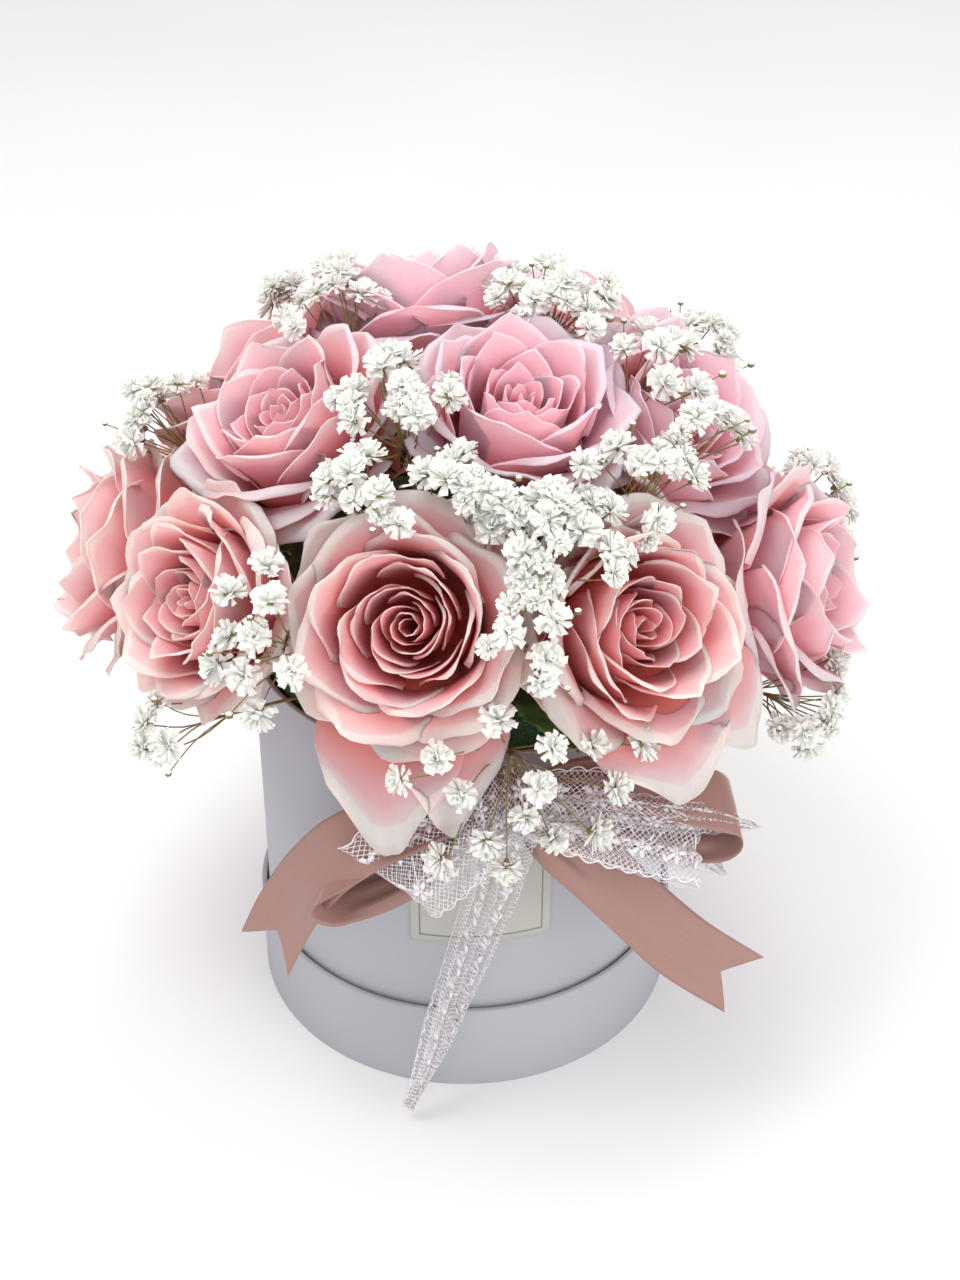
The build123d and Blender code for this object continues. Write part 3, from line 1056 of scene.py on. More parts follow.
# The paler, cooler tint is strongest on the upper roses: partly their own colour, partly painted
# light from above.
HABITS = {
    "front_left": RoseHabit(turn=20, heart_drop=2.5, size=1.08, nudge=(0, 0, 2)),
    "front_right": RoseHabit(turn=200, heart_drop=1.0, size=1.1, nudge=(2, 0, 0)),
    "left": RoseHabit(turn=80, age=0.25, size=1.02, nudge=(-7, -2, 7)),
    "far_left": RoseHabit(turn=140, age=0.35, size=1.1, nudge=(-12, 0, 6)),
    "upper_left": RoseHabit(turn=300, cool_tint_and_top_light=0.45, size=1.08, nudge=(-4, 0, 3)),
    "top": RoseHabit(turn=40, cool_tint_and_top_light=0.85, nudge=(0, 0, 5)),
    "top_back": RoseHabit(turn=10, cool_tint_and_top_light=0.9, size=1.14, nudge=(0, -2, 9)),
    "upper_right": RoseHabit(
        turn=100, cool_tint_and_top_light=0.85, size=1.16, nudge=(-10, -8, 10), look=(-0.2, -0.55, 0.1),
    ),
    "right": RoseHabit(turn=250, cool_tint_and_top_light=0.5, size=1.12, nudge=(9, -3, 3)),
    "back_left": RoseHabit(turn=170, cool_tint_and_top_light=0.4, size=1.1, nudge=(0, 0, 6)),
    "back_right": RoseHabit(turn=60, cool_tint_and_top_light=0.5, size=1.1, nudge=(0, 0, 6)),
    "low_right": RoseHabit(turn=330, cool_tint_and_top_light=0.3, open=0.95),
    "low_back_right": RoseHabit(turn=120, age=0.2, open=0.92),
    "low_back": RoseHabit(turn=210, age=0.1),
    "low_back_left": RoseHabit(turn=290, age=0.2, open=0.94),
    "low_left": RoseHabit(turn=30, age=0.25, open=0.95),
}

HANGING = {
    "front_left": (
        HangingPetal(
            Vector((-22, -72, 206)), Vector((-34, -112, 210)), Vector((-40, -122, 180)),
            Vector((-33, -112, 150)), Vector((-0.3, -1, 0.25)), 52, seed=3,
        ),
        HangingPetal(
            Vector((-16, -72, 206)), Vector((-14, -110, 212)), Vector((-10, -124, 186)),
            Vector((-14, -112, 158)), Vector((0.1, -1, 0.25)), 42, seed=11,
        ),
    ),
    "front_right": (
        HangingPetal(
            Vector((36, -68, 200)), Vector((58, -104, 206)), Vector((66, -122, 190)),
            Vector((66, -117, 169)), Vector((0.4, -1, 0.2)), 54, seed=23,
        ),
        HangingPetal(
            Vector((40, -66, 200)), Vector((74, -92, 208)), Vector((88, -104, 196)),
            Vector((90, -100, 178)), Vector((0.8, -1, 0.2)), 46, seed=37,
        ),
    ),
}


@dataclass
class Bouquet:
    """The roses on their hips, with sepals and a few leaves, standing in the foam."""

    nodes: dict[str, bpy.types.Object]
    petal: bpy.types.Material
    green: bpy.types.Material
    bloom_length: float = 50.0
    sepals: int = 5

    def seats(self) -> dict[str, tuple[Vector, Vector, list[Vector]]]:
        """Where each rose sits and which way it looks, read from the hips.

        Returns:
            For each rose its seat, its direction and its hip's corners.
        """
        blooms = {
            name: middle_of(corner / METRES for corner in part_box(f"rose_{name}")) for name in HABITS
        }
        found = {}
        for corners in islands(self.nodes["rose_hips"]):
            middle = mean_of(corners)
            typical = sum((corner - middle).length for corner in corners) / len(corners)
            seat = mean_of(c for c in corners if (c - middle).length > typical)
            under = mean_of(c for c in corners if (c - middle).length <= typical)
            way = (seat - under).normalized()
            heart = seat + way * (self.bloom_length / 2)
            nearest = min(blooms, key=lambda name: (blooms[name] - heart).length)
            found[nearest] = (seat, way, corners)
        return found

    def hips(self, seats: dict[str, tuple[Vector, Vector, list[Vector]]]) -> bpy.types.Object:
        """The green hips with their narrow sepals."""
        shape = new_shape()
        for name, (seat, way, _) in seats.items():
            picker = random.Random(name + "hip")
            line = [seat + way * step for step in (-7.5, -5.5, -3.0, -0.5, 1.5)]
            add_tube(shape, line, (2.6, 3.6, 6.0, 6.6, 5.0), 14)
            for number in range(self.sepals):
                frame = facing(seat, way, number * 360 / self.sepals + picker.uniform(-8, 8))
                length = picker.uniform(24, 32)
                fall = picker.uniform(10, 40)

                def sepal(u: float, s: float) -> Vector:
                    """A point on one sepal."""
                    half = 3.4 * (1 - s) ** 0.7 * (0.6 + 0.8 * s)
                    turn = math.radians(90 + fall * s)
                    out = 5.5 + length * s * math.sin(turn)
                    rise = 0.6 + length * s * math.cos(turn) - 1.4 * u * u * half / 3
                    return frame @ Vector((out, u * half, rise))

                add_sheet(shape, 4, 8, sepal)
        piece = finish_piece(
            shape, "hips_and_sepals", Body.ARRANGEMENT, Slot.GREEN, [self.green], ["rose_hips"]
        )
        thicken(piece, 0.5)
        return piece

    def leaf(
        self, name: str, foot: Vector, tip: Vector, face: Vector, width: float
    ) -> bpy.types.Object:
        """One rose leaf, folded a little along its middle rib, with a toothed edge.

        Args:
            name: The piece's name.
            foot: Where its stalk starts.
            tip: Where it ends.
            face: The direction that its upper side looks.
            width: Its greatest width.

        Returns:
            The piece.
        """
        along = tip - foot
        across = along.cross(face).normalized()
        up = across.cross(along).normalized()

        def blade(u: float, s: float) -> Vector:
            """A point on the leaf."""
            outline = math.sin(math.pi * clamp(s * 1.02) ** 0.8) ** 0.8 if 0 < s < 1 else 0.0
            teeth = 1.0 + 0.06 * math.sin(70 * s) * abs(u)
            half = width / 2 * outline * teeth
            fold = 2.6 * abs(u) * outline
            arch = 4.0 * math.sin(math.pi * s)
            waviness = 1.2 * math.sin(18 * s) * u * u
            return foot + along * s + across * (half * u) + up * (fold + arch - waviness)

        shape = new_shape()
        add_sheet(shape, 12, 26, blade)
        bmesh.ops.remove_doubles(shape, verts=shape.verts, dist=0.01)
        piece = finish_piece(shape, name, Body.ARRANGEMENT, Slot.GREEN, [self.green])
        thicken(piece, 0.4)
        return piece

    def leaves(self) -> None:
        """The leaves that show between the roses."""
        places = (
            ("leaf_front", (14, -84, 196), (30, -112, 187), (0.3, -0.8, 0.5), 20),
            ("leaf_back", (-34, 60, 222), (-46, 96, 214), (-0.2, 0.7, 0.7), 30),
            ("leaf_back_left", (-50, 44, 222), (-84, 74, 216), (-0.4, 0.4, 0.8), 30),
        )
        for name, foot, tip, face, width in places:
            self.leaf(name, Vector(foot), Vector(tip), Vector(face), width)

    def build(self) -> None:
        """Makes the roses, their hips and the leaves."""
        seats = self.seats()
        self.hips(seats)
        for name, (seat, way, _) in seats.items():
            Rose(name, seat, way, HABITS[name], self.petal, HANGING.get(name, ())).build()
        self.leaves()


# ---------------------------------------------------------------- baby's breath
@dataclass
class BabysBreath:
    """Sprigs of baby's breath: thin forked stems, frilly double blossoms and small buds."""

    nodes: dict[str, bpy.types.Object]
    petal: bpy.types.Material
    green: bpy.types.Material
    ball_size: float = 10.4
    blossom_radius: float = 6.4
    whorls: tuple[tuple[int, float, float], ...] = (
        (10, 104, 0.9), (10, 78, 1.0), (10, 54, 1.0), (7, 30, 0.96), (4, 10, 0.88),
    )
    stem_radius: float = 0.62
    pedicel_radius: float = 0.3
    bud_radius: float = 1.5
    thinned: str = "babys_breath_front"  # the sprig that hangs in front, with fewer blossoms
    sparse: tuple[str, ...] = (  # the sprigs whose blossoms stand singly
        "babys_breath_front",
        "babys_breath_left",
        "babys_breath_upper_right",
    )
    spread: float = 1.12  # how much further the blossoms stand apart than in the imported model
    thinned_spread: float = 1.35

    def blossom(
        self, shape: bmesh.types.BMesh, centre: Vector, way: Vector, size: float, seed: str
    ) -> None:
        """Adds one blossom.

        Args:
            shape: The mesh to add to.
            centre: The middle of the blossom.
            way: The direction that it looks.
            size: Its radius.
            seed: What makes it differ from the others.
        """
        picker = random.Random(seed)
        home = facing(centre - way * (0.45 * size), way, picker.uniform(0, 360))
        for count, lean, reach in self.whorls:
            for number in range(count):
                turn = 360 * (number + picker.uniform(-0.3, 0.3)) / count
                tilt = lean + picker.uniform(-14, 14)
                length = size * reach * picker.uniform(0.85, 1.12)
                frame = (
                    home
                    @ Matrix.Rotation(math.radians(turn), 4, "Z")
                    @ Matrix.Rotation(math.radians(tilt), 4, "Y")
                    @ Matrix.Translation((0, 0, 0.55 * length))
                    @ Matrix.Diagonal((0.3, 1.0, 1.0, 1.0))
                )
                made = bmesh.ops.create_cone(
                    shape,
                    cap_ends=True,
                    segments=3,
                    radius1=0.07 * size,
                    radius2=0.25 * size,
                    depth=0.9 * length,
                    matrix=frame,
                )
                for vertex in made["verts"]:
                    vertex.co += Vector(picker.uniform(-1, 1) for _ in range(3)) * (0.09 * size)
        cup = bmesh.ops.create_cone(
            shape,
            cap_ends=True,
            segments=6,
            radius1=0.12 * size,
            radius2=0.36 * size,
            depth=0.55 * size,
            matrix=facing(centre - way * (0.62 * size), way),
        )
        self.green_faces(cup["verts"])

    @staticmethod
    def green_faces(corners: Iterable[bmesh.types.BMVert]) -> None:
        """Gives the faces between some corners the green material."""
        for vertex in corners:
            for face in vertex.link_faces:
                face.material_index = 1

    def bud(self, shape: bmesh.types.BMesh, centre: Vector, size: float) -> None:
        """Adds a small closed bud."""
        made = bmesh.ops.create_icosphere(
            shape, subdivisions=1, radius=size, matrix=Matrix.Translation(centre)
        )
        for vertex in made["verts"]:
            if vertex.co.z < centre.z - 0.2 * size:
                for face in vertex.link_faces:
                    face.material_index = 1

    def stalk(
        self, shape: bmesh.types.BMesh, start: Vector, end: Vector, bow: Vector, radius: float
    ) -> None:
        """Adds a thin stalk that bows to one side."""
        corners = len(shape.verts)
        line = [through([start, (start + end) / 2 + bow, end], step / 6) for step in range(7)]
        add_tube(shape, line, [radius * blend(1.15, 0.9, step / 6) for step in range(7)], 5)
        shape.verts.ensure_lookup_table()
        self.green_faces(shape.verts[corners:])

    def sprig(self, node: str) -> bpy.types.Object:
        """One sprig, with a blossom at each of the CAD node's balls.

        Args:
            node: The CAD node.

        Returns:
            The piece.
        """
        picker = random.Random(node)
        balls, stem = [], []
        for corners in islands(self.nodes[node]):
            low = Vector(min(p[axis] for p in corners) for axis in range(3))
            high = Vector(max(p[axis] for p in corners) for axis in range(3))
            if max(abs((high - low)[axis] - self.ball_size) for axis in range(3)) < 0.4:
                balls.append((low + high) / 2)
            else:
                stem += corners
        lowest = min(corner.z for corner in stem)
        foot = mean_of(corner for corner in stem if corner.z < lowest + 1.5)
        heart = mean_of(balls)
        fork = foot + (heart - foot) * max(0.3, 1 - 22 / (heart - foot).length)
        shape = new_shape()
        sway = Vector(picker.uniform(-2, 2) for _ in range(3))
        self.stalk(shape, foot, fork, sway, self.stem_radius)
        if node == self.thinned:
            balls = [ball for number, ball in enumerate(balls) if number % 3 != 1]
        apart = self.thinned_spread if node == self.thinned else self.spread
        balls = [heart + (ball - heart) * apart for ball in balls]
        for number, ball in enumerate(balls):
            way = (ball - fork).normalized()
            stray = Vector(picker.uniform(-0.3, 0.3) for _ in range(3))
            upward = (way + Vector((0, 0, 0.25)) + stray).normalized()
            size = self.blossom_radius * picker.uniform(0.86, 1.08)
            root = foot + (fork - foot) * picker.uniform(0.84, 1.0)
            bow = Vector(picker.uniform(-2.2, 2.2) for _ in range(3))
            self.stalk(shape, root, ball - upward * (0.8 * size), bow, self.pedicel_radius)
            self.blossom(shape, ball, upward, size, f"{node}{number}")
            across = upward.orthogonal().normalized()
            for twin_number in range(0 if node in self.sparse else picker.choice((1, 1, 2))):
                turn = Matrix.Rotation(picker.uniform(0, math.tau), 3, upward)
                aside = (turn @ across) * picker.uniform(7.0, 9.5)
                twin = ball + aside - upward * picker.uniform(0, 4)
                small = size * picker.uniform(0.68, 0.9)
                self.stalk(shape, root, twin - upward * (0.8 * small), -bow, self.pedicel_radius)
                outward = (upward + (twin - ball) * 0.04).normalized()
                self.blossom(shape, twin, outward, small, f"{node}{number}b{twin_number}")
            if node != self.thinned and picker.random() < 0.45:
                turn = Matrix.Rotation(picker.uniform(0, math.tau), 3, upward)
                aside = (turn @ across) * picker.uniform(8, 12)
                knob = ball + aside + upward * picker.uniform(-3, 3)
                self.stalk(shape, root, knob, bow, self.pedicel_radius * 0.8)
                self.bud(shape, knob, self.bud_radius * picker.uniform(0.7, 1.15))
        return finish_piece(
            shape,
            node.replace("babys_breath", "sprig"),
            Body.ARRANGEMENT,
            Slot.BLOSSOM,
            [self.petal, self.green],
            [node],
            smooth=50,
        )

    def filler(
        self, name: str, line: Sequence[Vector], root: Vector, count: int, spread: float
    ) -> None:
        """One more sprig, whose blossoms spread loosely along a line to close a gap.

        Args:
            name: The piece's name.
            line: The middle of the blossoms, from one side to the other.
            root: Where their stalks fork.
            count: How many blossoms it has.
            spread: How far they stray from the line.
        """
        picker = random.Random(name)
        shape = new_shape()
        for number in range(count):
            stray = Vector(picker.uniform(-spread, spread) for _ in range(3))
            place = through(line, (number + 0.5) / count) + stray
            upward = (place - root).normalized()
            size = self.blossom_radius * picker.uniform(0.82, 1.02)
            bow = Vector(picker.uniform(-2, 2) for _ in range(3))
            self.stalk(shape, root, place - upward * (0.8 * size), bow, self.pedicel_radius)
            self.blossom(shape, place, upward, size, f"{name}{number}")
        materials = [self.petal, self.green]
        finish_piece(shape, name, Body.ARRANGEMENT, Slot.BLOSSOM, materials, smooth=50)

    def build(self) -> None:
        """Makes every sprig."""
        for node in sorted(self.nodes):
            if node.startswith("babys_breath"):
                self.sprig(node)
        band = [Vector((-17, -82, 274)), Vector((12, -85, 272)), Vector((42, -76, 274))]
        self.filler("sprig_filler", band, Vector((0, -55, 200)), 12, 8.0)
        gap = [Vector((-20, 98, 238)), Vector((-42, 92, 236)), Vector((-62, 84, 226))]
        self.filler("sprig_filler_back", gap, Vector((-34, 55, 205)), 12, 9.0)


# ---------------------------------------------------------------- bow
FINE_STEPS = 800  # along a strip's line, to measure its length
STATIONS = 240  # along a strip, evenly spaced, where its frame is kept


@dataclass
class Strip:
    """A band of cloth in space: the line of its middle, the way of its width, and its gathers."""

    line: Sequence[tuple[float, float, float]]
    across: Sequence[tuple[float, float, float]]
    share: Sequence[float]  # of the full width at each point, where less is gathered
    width: float
    pleats: float = 3.0
    camber: float = 0.0
    notch: float = 0.0  # the depth of a swallowtail, as a share of the length
    depth: float = 2.6  # the deepest that a pleat may be
    stations: list[tuple[Vector, Vector, Vector, float]] = field(default_factory=list)

    def __post_init__(self) -> None:
        """Works out the frames along the line, evenly spaced."""
        points = [Vector(point) for point in self.line]
        ways = [Vector(way).normalized() for way in self.across]
        shares = [Vector((share, 0, 0)) for share in self.share]
        fine = [step / FINE_STEPS for step in range(FINE_STEPS + 1)]
        spots = [through(points, step) for step in fine]
        run = [0.0]
        for before, after in zip(spots, spots[1:]):
            run.append(run[-1] + (after - before).length)
        self.length = run[-1]
        number = 0
        for station in range(STATIONS + 1):
            goal = self.length * station / STATIONS
            while number < FINE_STEPS - 1 and run[number + 1] < goal:
                number += 1
            part = (goal - run[number]) / max(run[number + 1] - run[number], 1e-9)
            here = fine[number] + part / FINE_STEPS
            spot = through(points, here)
            tangent = through(points, min(here + 0.004, 1)) - through(points, max(here - 0.004, 0))
            across = through(ways, here)
            leaning = tangent * (across.dot(tangent) / tangent.length_squared)
            across = (across - leaning).normalized()
            normal = tangent.normalized().cross(across)
            self.stations.append((spot, across, normal, max(through(shares, here).x, 0.05)))

    def at(self, u: float, t: float, rise: float = 0.0) -> Vector:
        """A point on the cloth.

        Args:
            u: The place across, from -1 to 1.
            t: The place along, from 0 to 1.
            rise: How far the point stands above the cloth.

        Returns:
            The point.
        """
        if self.notch:
            t = t * (1.0 - self.notch * (1.0 - abs(u)))
        exact = clamp(t) * STATIONS
        number = min(int(exact), STATIONS - 1)
        part = exact - number
        one, two = self.stations[number], self.stations[number + 1]
        spot = one[0].lerp(two[0], part)
        across = one[1].lerp(two[1], part)
        normal = one[2].lerp(two[2], part)
        share = blend(one[3], two[3], part)
        half = self.width * share / 2
        spare = math.sqrt(max(1 / share**2 - 1, 0))  # the width that the pleats take up
        fold = min(self.depth, self.width / (math.pi * self.pleats) * spare)
        pleat = math.sin(math.pi * self.pleats * u + 2.2 * t)
        wave = fold * pleat * (1 + 0.3 * math.sin(5 * u + 9 * t))
        height = wave + self.camber * (1 - u * u) + rise
        return spot + across * (half * u) + normal * height


@dataclass
class LaceCloth:
    """Openwork lace: a fine net with flowers, a trailing vine and a scalloped edge."""

    cell: float = 1.6
    thread: float = 0.26
    motif: float = 13.0
    scallop: float = 7.0
    spot_thickness: float = 0.36
    trail_radius: float = 0.26
    vine_step: float = 1.6
    edge_steps: int = 8  # along one scallop

    def net(self, width: float, length: float) -> bmesh.types.BMesh:
        """The flat net.

        Args:
            width: Across, along X from the middle.
            length: Along Y from 0.

        Returns:
            The net's threads.
        """
        shape = new_shape()
        reach = (width + length) * 0.72
        turn = Matrix.Translation((0, length / 2, 0)) @ Matrix.Rotation(math.radians(45), 4, "Z")
        count = max(int(2 * reach / self.cell), 4)
        bmesh.ops.create_grid(shape, x_segments=count, y_segments=count, size=reach, matrix=turn)
        sides = (
            ((-width / 2, 0, 0), (-1, 0, 0)),
            ((width / 2, 0, 0), (1, 0, 0)),
            ((0, 0, 0), (0, -1, 0)),
            ((0, length, 0), (0, 1, 0)),
        )
        for spot, way in sides:
            geometry = list(shape.verts) + list(shape.edges) + list(shape.faces)
            bmesh.ops.bisect_plane(
                shape, geom=geometry, dist=1e-4, plane_co=spot, plane_no=way, clear_outer=True
            )
        bmesh.ops.wireframe(
            shape,
            faces=list(shape.faces),
            thickness=self.thread,
            offset=0.5,
            use_replace=True,
            use_boundary=True,
            use_even_offset=True,
        )
        return shape

    def spot(
        self, shape: bmesh.types.BMesh, x: float, y: float, turn: float, long: float, wide: float
    ) -> None:
        """Adds one small woven shape, as long and as wide as given, turned by an angle."""
        matrix = (
            Matrix.Translation((x, y, 0))
            @ Matrix.Rotation(turn, 4, "Z")
            @ Matrix.Diagonal((long / 2, wide / 2, 1, 1))
        )
        bmesh.ops.create_cone(
            shape,
            cap_ends=True,
            segments=8,
            radius1=1,
            radius2=1,
            depth=self.spot_thickness,
            matrix=matrix,
        )

    def trail(self, shape: bmesh.types.BMesh, line: Sequence[Vector]) -> None:
        """Adds a thick thread that follows a line on the flat cloth."""
        add_tube(shape, line, [self.trail_radius] * len(line), 4)

    def flat(self, width: float, length: float, seed: int) -> bmesh.types.BMesh:
        """The whole lace, flat.

        Args:
            width: Across, along X from the middle.
            length: Along Y from 0.
            seed: What makes its pattern differ.

        Returns:
            The lace's threads and motifs.
        """
        picker = random.Random(seed)
        shape = self.net(width, length)
        sway = width * 0.2
        count = max(int(length / self.vine_step), 4)
        vine = [
            Vector((sway * math.sin(math.tau * y / (2 * self.motif)), y, 0.0))
            for y in (length * step / count for step in range(count + 1))
        ]
        self.trail(shape, vine)
        number = 0
        y = self.motif * 0.4
        while y < length - 2:
            side = 1 if number % 2 else -1
            x = side * width * 0.24
            for petal in range(5):
                turn = petal * math.tau / 5 + picker.uniform(0, 0.3)
                out, up = 2.3 * math.cos(turn), 2.3 * math.sin(turn)
                self.spot(shape, x + out, y + up, turn, 3.3, 1.9)
            self.spot(shape, x, y, 0, 1.3, 1.3)
            for leaf in range(3):
                turn = side * (0.6 + 0.8 * leaf)
                reach = width * (0.10 + 0.1 * leaf)
                self.spot(shape, -side * reach, y + 2.5 * leaf - 2, turn, 3.6, 1.3)
            y += self.motif * 0.5 + picker.uniform(-0.6, 0.6)
            number += 1
        waves = max(int(length / self.scallop), 1)
        steps = waves * self.edge_steps
        for side in (-1, 1):
            edge = []
            for step in range(steps + 1):
                swell = 1.6 * abs(math.sin(math.pi * waves * step / steps))
                edge.append(Vector((side * (width / 2 - 0.4 + swell), length * step / steps, 0)))
            self.trail(shape, edge)
        return shape

    def lay(self, strip: Strip, seed: int) -> bmesh.types.BMesh:
        """The lace laid along a strip."""
        shape = self.flat(strip.width, strip.length, seed)
        for vertex in shape.verts:
            x, y, rise = vertex.co
            vertex.co = strip.at(2 * x / strip.width, y / strip.length, rise)
        return shape


@dataclass
class Bow:
    """The bow on the front of the box: satin loops and tails, lace over them, and the knot."""

    satin: bpy.types.Material
    lace: bpy.types.Material
    satin_width: float = 25.0
    lace_width: float = 36.0
    cloth: float = 0.28
    lace_cloth: LaceCloth = field(default_factory=LaceCloth)

    def satin_piece(self, name: str, strip: Strip, columns: int, rows: int, hold: Hold) -> None:
        """Makes one length of satin ribbon that stands for the CAD node of the same name."""
        shape = new_shape()
        add_sheet(shape, columns, rows, strip.at)
        piece = finish_piece(shape, f"{name}_ribbon", Body.BOX, Slot.SATIN, [self.satin], [name])
        thicken(piece, self.cloth)

    def lace_piece(self, name: str, strip: Strip, seed: int, hold: Hold) -> None:
        """Makes one length of lace that stands for the CAD node of the same name."""
        shape = self.lace_cloth.lay(strip, seed)
        piece = finish_piece(shape, f"{name}_openwork", Body.BOX, Slot.LACE, [self.lace], [name])

    def loops(self) -> None:
        """The two satin loops, each out from the knot, round its far end and back."""
        left = Strip(
            line=(
                (-4, -93, 155), (-24, -97, 149), (-46, -99, 135), (-59, -98, 121), (-50, -96, 114),
                (-26, -94, 123), (-4, -91, 148),
            ),
            across=(
                (0.1, 0.6, 0.8), (0.2, 0.85, 0.5), (0.25, 0.9, 0.3), (0.3, 0.95, 0.1),
                (0.25, 0.95, 0.15), (0.2, 0.9, 0.3), (0.1, 0.6, 0.8),
            ),
            share=(0.4, 0.8, 1, 1, 1, 0.8, 0.4),
            width=self.satin_width,
            camber=1.0,
        )
        right = Strip(
            line=(
                (15, -94, 157), (38, -98, 162), (66, -100, 158), (87, -98, 148), (82, -97, 137),
                (54, -95, 139), (15, -91, 150),
            ),
            across=(
                (0, 0.5, 0.85), (0.0, 0.75, 0.65), (0.0, 0.85, 0.5), (-0.05, 0.9, 0.35),
                (0.0, 0.85, 0.5), (0, 0.75, 0.65), (0, 0.5, 0.85),
            ),
            share=(0.4, 0.8, 1, 1, 1, 0.8, 0.4),
            width=self.satin_width,
            camber=1.0,
        )
        self.satin_piece("satin_loop_left", left, 16, 90, Hold.GATHERED)
        self.satin_piece("satin_loop_right", right, 16, 90, Hold.GATHERED)

    def tails(self) -> None:
        """The two satin tails with their swallowtail ends."""
        left = Strip(
            line=(
                (-2, -96, 154), (-22, -104, 155), (-46, -102, 144), (-61, -97, 126),
                (-72, -92, 104), (-81, -90, 82),
            ),
            across=(
                (-0.1, 0.5, 0.8), (-0.3, 0.7, 0.6), (-0.45, 0.75, 0.45), (-0.45, 0.65, 0.6),
                (-0.5, 0.6, 0.6), (-0.57, 0.64, 0.5),
            ),
            share=(0.4, 0.8, 1, 1, 1, 1),
            width=self.satin_width,
            notch=0.11,
            camber=0.8,
        )
        right = Strip(
            line=(
                (12, -96, 152), (24, -103, 143), (38, -106, 130), (54, -109, 112), (71, -113, 95),
                (93, -117, 79),
            ),
            across=(
                (0.6, 0.3, 0.7), (0.6, 0.55, 0.55), (0.55, 0.65, 0.5), (0.54, 0.62, 0.52),
                (0.58, 0.45, 0.62), (0.66, 0.3, 0.62),
            ),
            share=(0.4, 0.85, 1, 1, 1, 1),
            width=self.satin_width,
            notch=0.1,
            camber=0.8,
        )
        self.satin_piece("satin_tail_left", left, 16, 70, Hold.HUNG)
        self.satin_piece("satin_tail_right", right, 16, 70, Hold.HUNG)

    def knot(self) -> None:
        """The satin band that is wound round the middle, pleated along its length."""
        band = Strip(
            line=(
                (5, -86.5, 150), (5, -92, 145), (5, -100, 147), (5, -104, 154), (5, -101, 162),
                (5, -93, 164.5), (5, -86.5, 160),
            ),
            across=((1, 0, 0),) * 7,
            share=(0.62,) * 7,
            width=30.0,
            pleats=4,
            camber=-1.4,
            depth=1.2,
        )
        self.satin_piece("satin_knot", band, 40, 50, Hold.GATHERED)

    def lace_pieces(self) -> None:
        """The lace loops, the knot's lace and the three lace tails."""
        left = Strip(
            line=(
                (5, -104, 163), (-8, -109, 155), (-22, -112, 145), (-34, -111, 134),
                (-32, -104, 131), (-18, -101, 142), (5, -98, 158),
            ),
            across=(
                (-0.7, 0.4, 0.5), (-0.75, 0.4, 0.5), (-0.78, 0.35, 0.5), (-0.8, 0.3, 0.5),
                (-0.78, 0.35, 0.5), (-0.75, 0.4, 0.5), (-0.7, 0.4, 0.5),
            ),
            share=(0.55, 0.8, 0.95, 1, 0.95, 0.8, 0.55),
            width=40.0,
            pleats=5,
            depth=2.8,
        )
        right = Strip(
            line=(
                (12, -106, 160), (28, -111, 161), (50, -111, 154), (72, -108, 144), (70, -104, 140),
                (42, -103, 149), (12, -101, 154),
            ),
            across=(
                (0, 0.7, 0.7), (0.05, 0.8, 0.6), (0.1, 0.85, 0.5), (0.15, 0.85, 0.5),
                (0.1, 0.85, 0.5), (0.05, 0.8, 0.6), (0, 0.7, 0.7),
            ),
            share=(0.5, 0.8, 0.95, 0.9, 0.95, 0.8, 0.5),
            width=self.lace_width,
            pleats=4,
            depth=2.0,
        )
        front = Strip(
            line=(
                (6, -106, 158), (4, -108, 142), (2, -105, 120), (-5, -103, 92), (-13, -102, 62),
                (-20, -102, 36), (-30, -101, 8),
            ),
            across=(
                (1, 0.1, 0.1), (1, 0.1, 0.1), (1, 0.15, 0.15), (1, 0.2, 0.2), (0.9, 0.4, 0.1),
                (0.8, 0.6, -0.1), (0.5, 0.8, -0.3),
            ),
            share=(0.45, 0.8, 0.72, 0.62, 0.55, 0.45, 0.08),
            width=30.0,
            pleats=5,
            depth=2.2,
        )
        upper = Strip(
            line=(
                (14, -106, 157), (40, -110, 160), (62, -110, 156), (80, -106, 149), (97, -102, 141),
            ),
            across=((0, 0.3, 1), (0, 0.4, 0.9), (0.1, 0.5, 0.8), (0.2, 0.6, 0.6), (0.3, 0.6, 0.5)),
            share=(0.4, 0.5, 0.5, 0.4, 0.06),
            width=22.0,
            pleats=3,
            depth=2.0,
        )
        lower = Strip(
            line=((14, -88, 150), (40, -92, 144), (62, -94, 134), (76, -93, 124), (88, -91, 110)),
            across=(
                (0.2, 0.3, 1), (0.3, 0.4, 0.9), (0.4, 0.5, 0.8), (0.5, 0.5, 0.7), (0.5, 0.5, 0.6),
            ),
            share=(0.4, 0.6, 0.75, 0.6, 0.08),
            width=24.0,
            pleats=3,
            depth=2.0,
        )
        self.lace_piece("lace_loop_left", left, 1, Hold.GATHERED)
        self.lace_piece("lace_loop_right", right, 2, Hold.GATHERED)
        self.lace_piece("lace_tail_front", front, 3, Hold.HUNG)
        self.lace_piece("lace_tail_upper", upper, 4, Hold.HUNG)
        self.lace_piece("lace_tail_lower", lower, 5, Hold.HUNG)
        self.lace_knot()

    def lace_knot(self) -> None:
        """The gathered lace over the satin knot."""
        band = Strip(
            line=(
                (4, -95, 140), (4, -104, 141), (4, -109, 149), (4, -109, 159), (4, -104, 168),
                (4, -95, 171),
            ),
            across=((1, 0, 0.05),) * 6,
            share=(0.6, 0.68, 0.7, 0.7, 0.68, 0.6),
            width=40.0,
            pleats=6,
            camber=-1.0,
            depth=1.6,
        )
        shape = self.lace_cloth.lay(band, 6)
        piece = finish_piece(shape, "lace_knot_openwork", Body.BOX, Slot.LACE, [self.lace])

    def build(self) -> None:
        """Makes the whole bow."""
        self.loops()
        self.tails()
        self.knot()
        self.lace_pieces()


